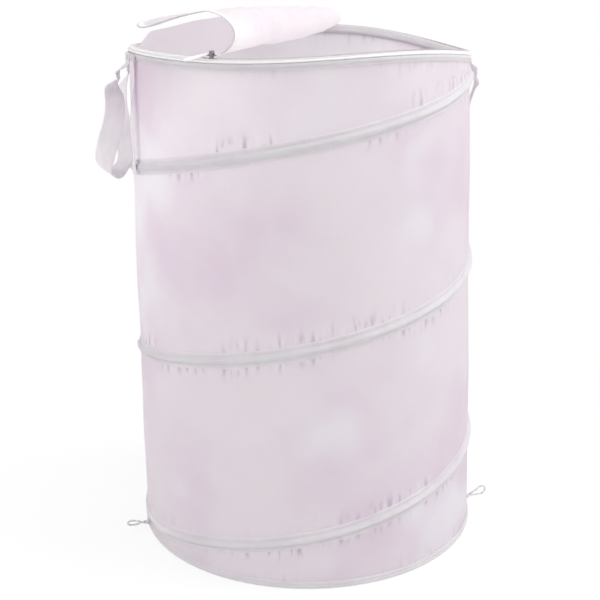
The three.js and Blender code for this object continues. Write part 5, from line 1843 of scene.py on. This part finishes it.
class HAMPER_OT_base_loops(bpy.types.Operator):
    """Makes the two braided cord loops at the foot and the folded tabs that hold them"""

    bl_idname = "hamper.base_loops"
    bl_label = "Foot loops"

    # where each loop sits, and how steeply it rises
    loops = {"left": (math.radians(-162.4), math.radians(5)), "right": (math.radians(2), math.radians(25))}
    twist = math.radians(62)
    braid_pitch = 5 * MM
    root_height = 8 * MM
    tunnel = 1.5 * MM
    tab_wall = 0.6 * MM
    tab_width = 6 * MM
    tab_out = 1.3 * MM
    steps = 220
    sides = 16

    def execute(self, context):
        for side, (turn, lift) in self.loops.items():
            self.loop(side, turn, lift)
            self.tab(side, turn)
        return {"FINISHED"}

    def root(self):
        return sizes("body").base_radius + self.tab_out + GAP + self.tunnel + self.tab_wall

    def loop(self, side, turn, lift):
        st = sizes("straps")
        half, reach = st.cord_half_width, st.cord_reach
        one = [(0, self.tab_width / 2), (2 * MM, self.tab_width / 2 - 0.4 * MM), (7 * MM, 2 * MM),
               (reach * 0.5, half * 0.62), (reach * 0.78, half), (reach * 0.96, half * 0.6)]
        knots = [(0, 0), *one, (reach, 0), *[(o, -w) for o, w in one[::-1]]]
        shares = np.linspace(0, 1, self.steps, endpoint=False)
        flat = smooth_path([(o, w, 0) for o, w in knots], shares, closed=True)
        twist = self.twist * smooth((flat[:, 0] - 2 * MM) / (12 * MM))
        rise = flat[:, 0] * math.sin(lift) + flat[:, 1] * np.sin(twist)
        out = self.root() + flat[:, 0] * math.cos(lift)
        z = self.root_height + rise
        flat[:, 1] = flat[:, 1] * np.cos(twist)
        line = around(turn, out, flat[:, 1], z)
        run = run_along(line)[:, None]
        around_cord = np.arange(self.sides)[None, :] * FULL_TURN / self.sides
        turns = FULL_TURN * round(run[-1, 0] / self.braid_pitch) / run[-1, 0] * run
        braid = np.maximum(np.sin(4 * around_cord + turns * 2), np.sin(4 * around_cord - turns * 2))
        radius = st.cord_radius * (0.93 + 0.09 * braid)
        upward = np.tile([0, 0, 1.0], (len(line), 1))
        rings = tube_points(line, upward, radius, self.sides, closed=True)
        cord = solid_piece(f"foot_loop_{side}", rings, closed=True)
        dress(cord, braided_cord(), f"base_loop_{side}", [f"base_loop_{side}"])

    def tab(self, side, turn):
        """A scrap of tape folded round the cord, its ends sewn under the binding's edge."""
        root = self.root()
        bend = np.radians(np.linspace(-90, 90, 13))
        r = self.tunnel + self.tab_wall / 2
        out = np.concatenate([[-2.4 * MM, -1.2 * MM], r * np.cos(bend), [-1.2 * MM, -2.4 * MM]])
        up = np.concatenate([[-r - 0.6 * MM, -r], r * np.sin(bend), [r, r + 0.6 * MM]])
        across = np.linspace(-0.5, 0.5, 9)[:, None] * self.tab_width
        points = around(turn, root + out[None, :] + 0 * across, across, self.root_height + up[None, :])
        tab = cloth_piece(f"foot_tab_{side}", points, self.tab_wall)
        dress(tab, doubled_nylon(), "base", [f"base_loop_tab_{side}"])


# Stage


class HAMPER_OT_stage(bpy.types.Operator):
    """Makes the floor, the soft light and the camera"""

    bl_idname = "hamper.stage"
    bl_label = "Stage"

    camera_at = (0, -1.4681, 0.7541)
    camera_tilt = math.radians(75.92)
    lens = 69.20
    shift = (-0.0125, -0.1083)
    lamps = {"key": (1.9, -0.1, 2.0), "kicker": (-1.95, -0.7, 0.8), "above": (0.1, -0.1, 2.6)}
    lamp_size = 1.8
    floor_drop = 0.4 * MM

    def execute(self, context):
        st = sizes("stage")
        floor = primitive("plane", size=st.floor, location=(0, 0, -self.floor_drop))
        floor.name = "floor"
        floor.data.materials.append(self.white_floor())
        self.world()
        for name, place in self.lamps.items():
            lamp = in_scene(name, bpy.data.lights.new(name, "AREA"))
            lamp.data.energy = getattr(st, name)
            lamp.data.size = self.lamp_size
            lamp.location = place
            toward = Vector((0, 0, ZIP_LINE / 2)) - lamp.location
            lamp.rotation_euler = toward.to_track_quat("-Z", "Y").to_euler()
        camera = in_scene("camera", bpy.data.cameras.new("camera"))
        camera.location = self.camera_at
        camera.rotation_euler = (self.camera_tilt, 0, 0)
        camera.data.lens = self.lens
        camera.data.shift_x, camera.data.shift_y = self.shift
        bpy.context.scene.camera = camera
        bpy.context.scene.view_settings.view_transform = "Standard"
        return {"FINISHED"}

    def seen_share(self, tree):
        """1 for what the camera sees, directly or in a mirror or through glass, and otherwise 0."""
        path = add_node(tree, "ShaderNodeLightPath")
        seen = path.outputs["Is Camera Ray"]
        for kind in ("Is Glossy Ray", "Is Transmission Ray"):
            seen = add_node(tree, "ShaderNodeMath", {"operation": "MAXIMUM"},
                            {0: seen, 1: path.outputs[kind]}).outputs[0]
        return seen

    def white_floor(self):
        # Matt white paper, pure white to the camera away from the hamper's soft shadow
        st = sizes("stage")
        material = bpy.data.materials.new("Matt white paper")
        tree = new_tree(material)
        place = add_node(tree, "ShaderNodeTexCoord").outputs["Object"]
        away = add_node(tree, "ShaderNodeVectorMath", {"operation": "LENGTH"}, {0: place}).outputs["Value"]
        near = add_node(tree, "ShaderNodeMapRange", {"interpolation_type": "SMOOTHSTEP"},
                        {"Value": away, "From Min": st.shadow_to, "From Max": st.shadow_from, "To Min": 1.0,
                         "To Max": 1 - st.shadow}).outputs["Result"]
        shade = add_node(tree, "ShaderNodeBsdfDiffuse", None, {"Color": linear(0xF7F7F7)})
        glow = add_node(tree, "ShaderNodeEmission", None, {"Color": (1, 1, 1), "Strength": 1.0})
        share = add_node(tree, "ShaderNodeMath", {"operation": "MULTIPLY"},
                         {0: self.seen_share(tree), 1: near})
        both = add_node(tree, "ShaderNodeMixShader", None,
                        {"Fac": share.outputs[0], 1: shade.outputs["BSDF"], 2: glow.outputs["Emission"]})
        add_node(tree, "ShaderNodeOutputMaterial", None, {"Surface": both.outputs["Shader"]})
        return material

    def world(self):
        world = bpy.data.worlds.new("Even white light")
        tree = new_tree(world)
        fill = sizes("stage").fill
        even = add_node(tree, "ShaderNodeBackground", None, {"Color": (1, 1, 1), "Strength": fill})
        white = add_node(tree, "ShaderNodeBackground", None, {"Color": (1, 1, 1), "Strength": 1.0})
        both = add_node(tree, "ShaderNodeMixShader", None,
                        {"Fac": self.seen_share(tree), 1: even.outputs["Background"],
                         2: white.outputs["Background"]})
        add_node(tree, "ShaderNodeOutputWorld", None, {"Surface": both.outputs["Shader"]})
        bpy.context.scene.world = world


OPERATORS = [HAMPER_OT_stage, HAMPER_OT_wall, HAMPER_OT_spiral_sleeve, HAMPER_OT_spiral_wire, HAMPER_OT_base,
             HAMPER_OT_hoops, HAMPER_OT_rim_hem, HAMPER_OT_rim_zip, HAMPER_OT_lid_cloth, HAMPER_OT_lid_edge,
             HAMPER_OT_slider, HAMPER_OT_pull, HAMPER_OT_handles, HAMPER_OT_tie_strap, HAMPER_OT_base_loops]


class HAMPER_PT_panel(bpy.types.Panel):
    """Lists the hamper's pieces, sizes and colours"""

    bl_idname = "HAMPER_PT_panel"
    bl_label = "Laundry hamper"
    bl_space_type = "VIEW_3D"
    bl_region_type = "UI"
    bl_category = "Hamper"

    def draw(self, context):
        for operator in OPERATORS:
            self.layout.operator(operator.bl_idname)
        for group, kind in GROUPS.items():
            box = self.layout.box()
            box.label(text=group.title())
            for key in kind.__annotations__:
                box.prop(getattr(context.scene, "hamper_" + group), key)


def register():
    for kind in [*GROUPS.values(), *OPERATORS, HAMPER_PT_panel]:
        bpy.utils.register_class(kind)
    for group, kind in GROUPS.items():
        setattr(bpy.types.Scene, "hamper_" + group, PointerProperty(type=kind))


def unregister():
    for group in GROUPS:
        delattr(bpy.types.Scene, "hamper_" + group)
    for kind in [HAMPER_PT_panel, *OPERATORS[::-1], *list(GROUPS.values())[::-1]]:
        bpy.utils.unregister_class(kind)


def main():
    register()
    for operator in OPERATORS:
        group, name = operator.bl_idname.split(".")
        getattr(getattr(bpy.ops, group), name)()


if __name__ == "__main__":
    main()
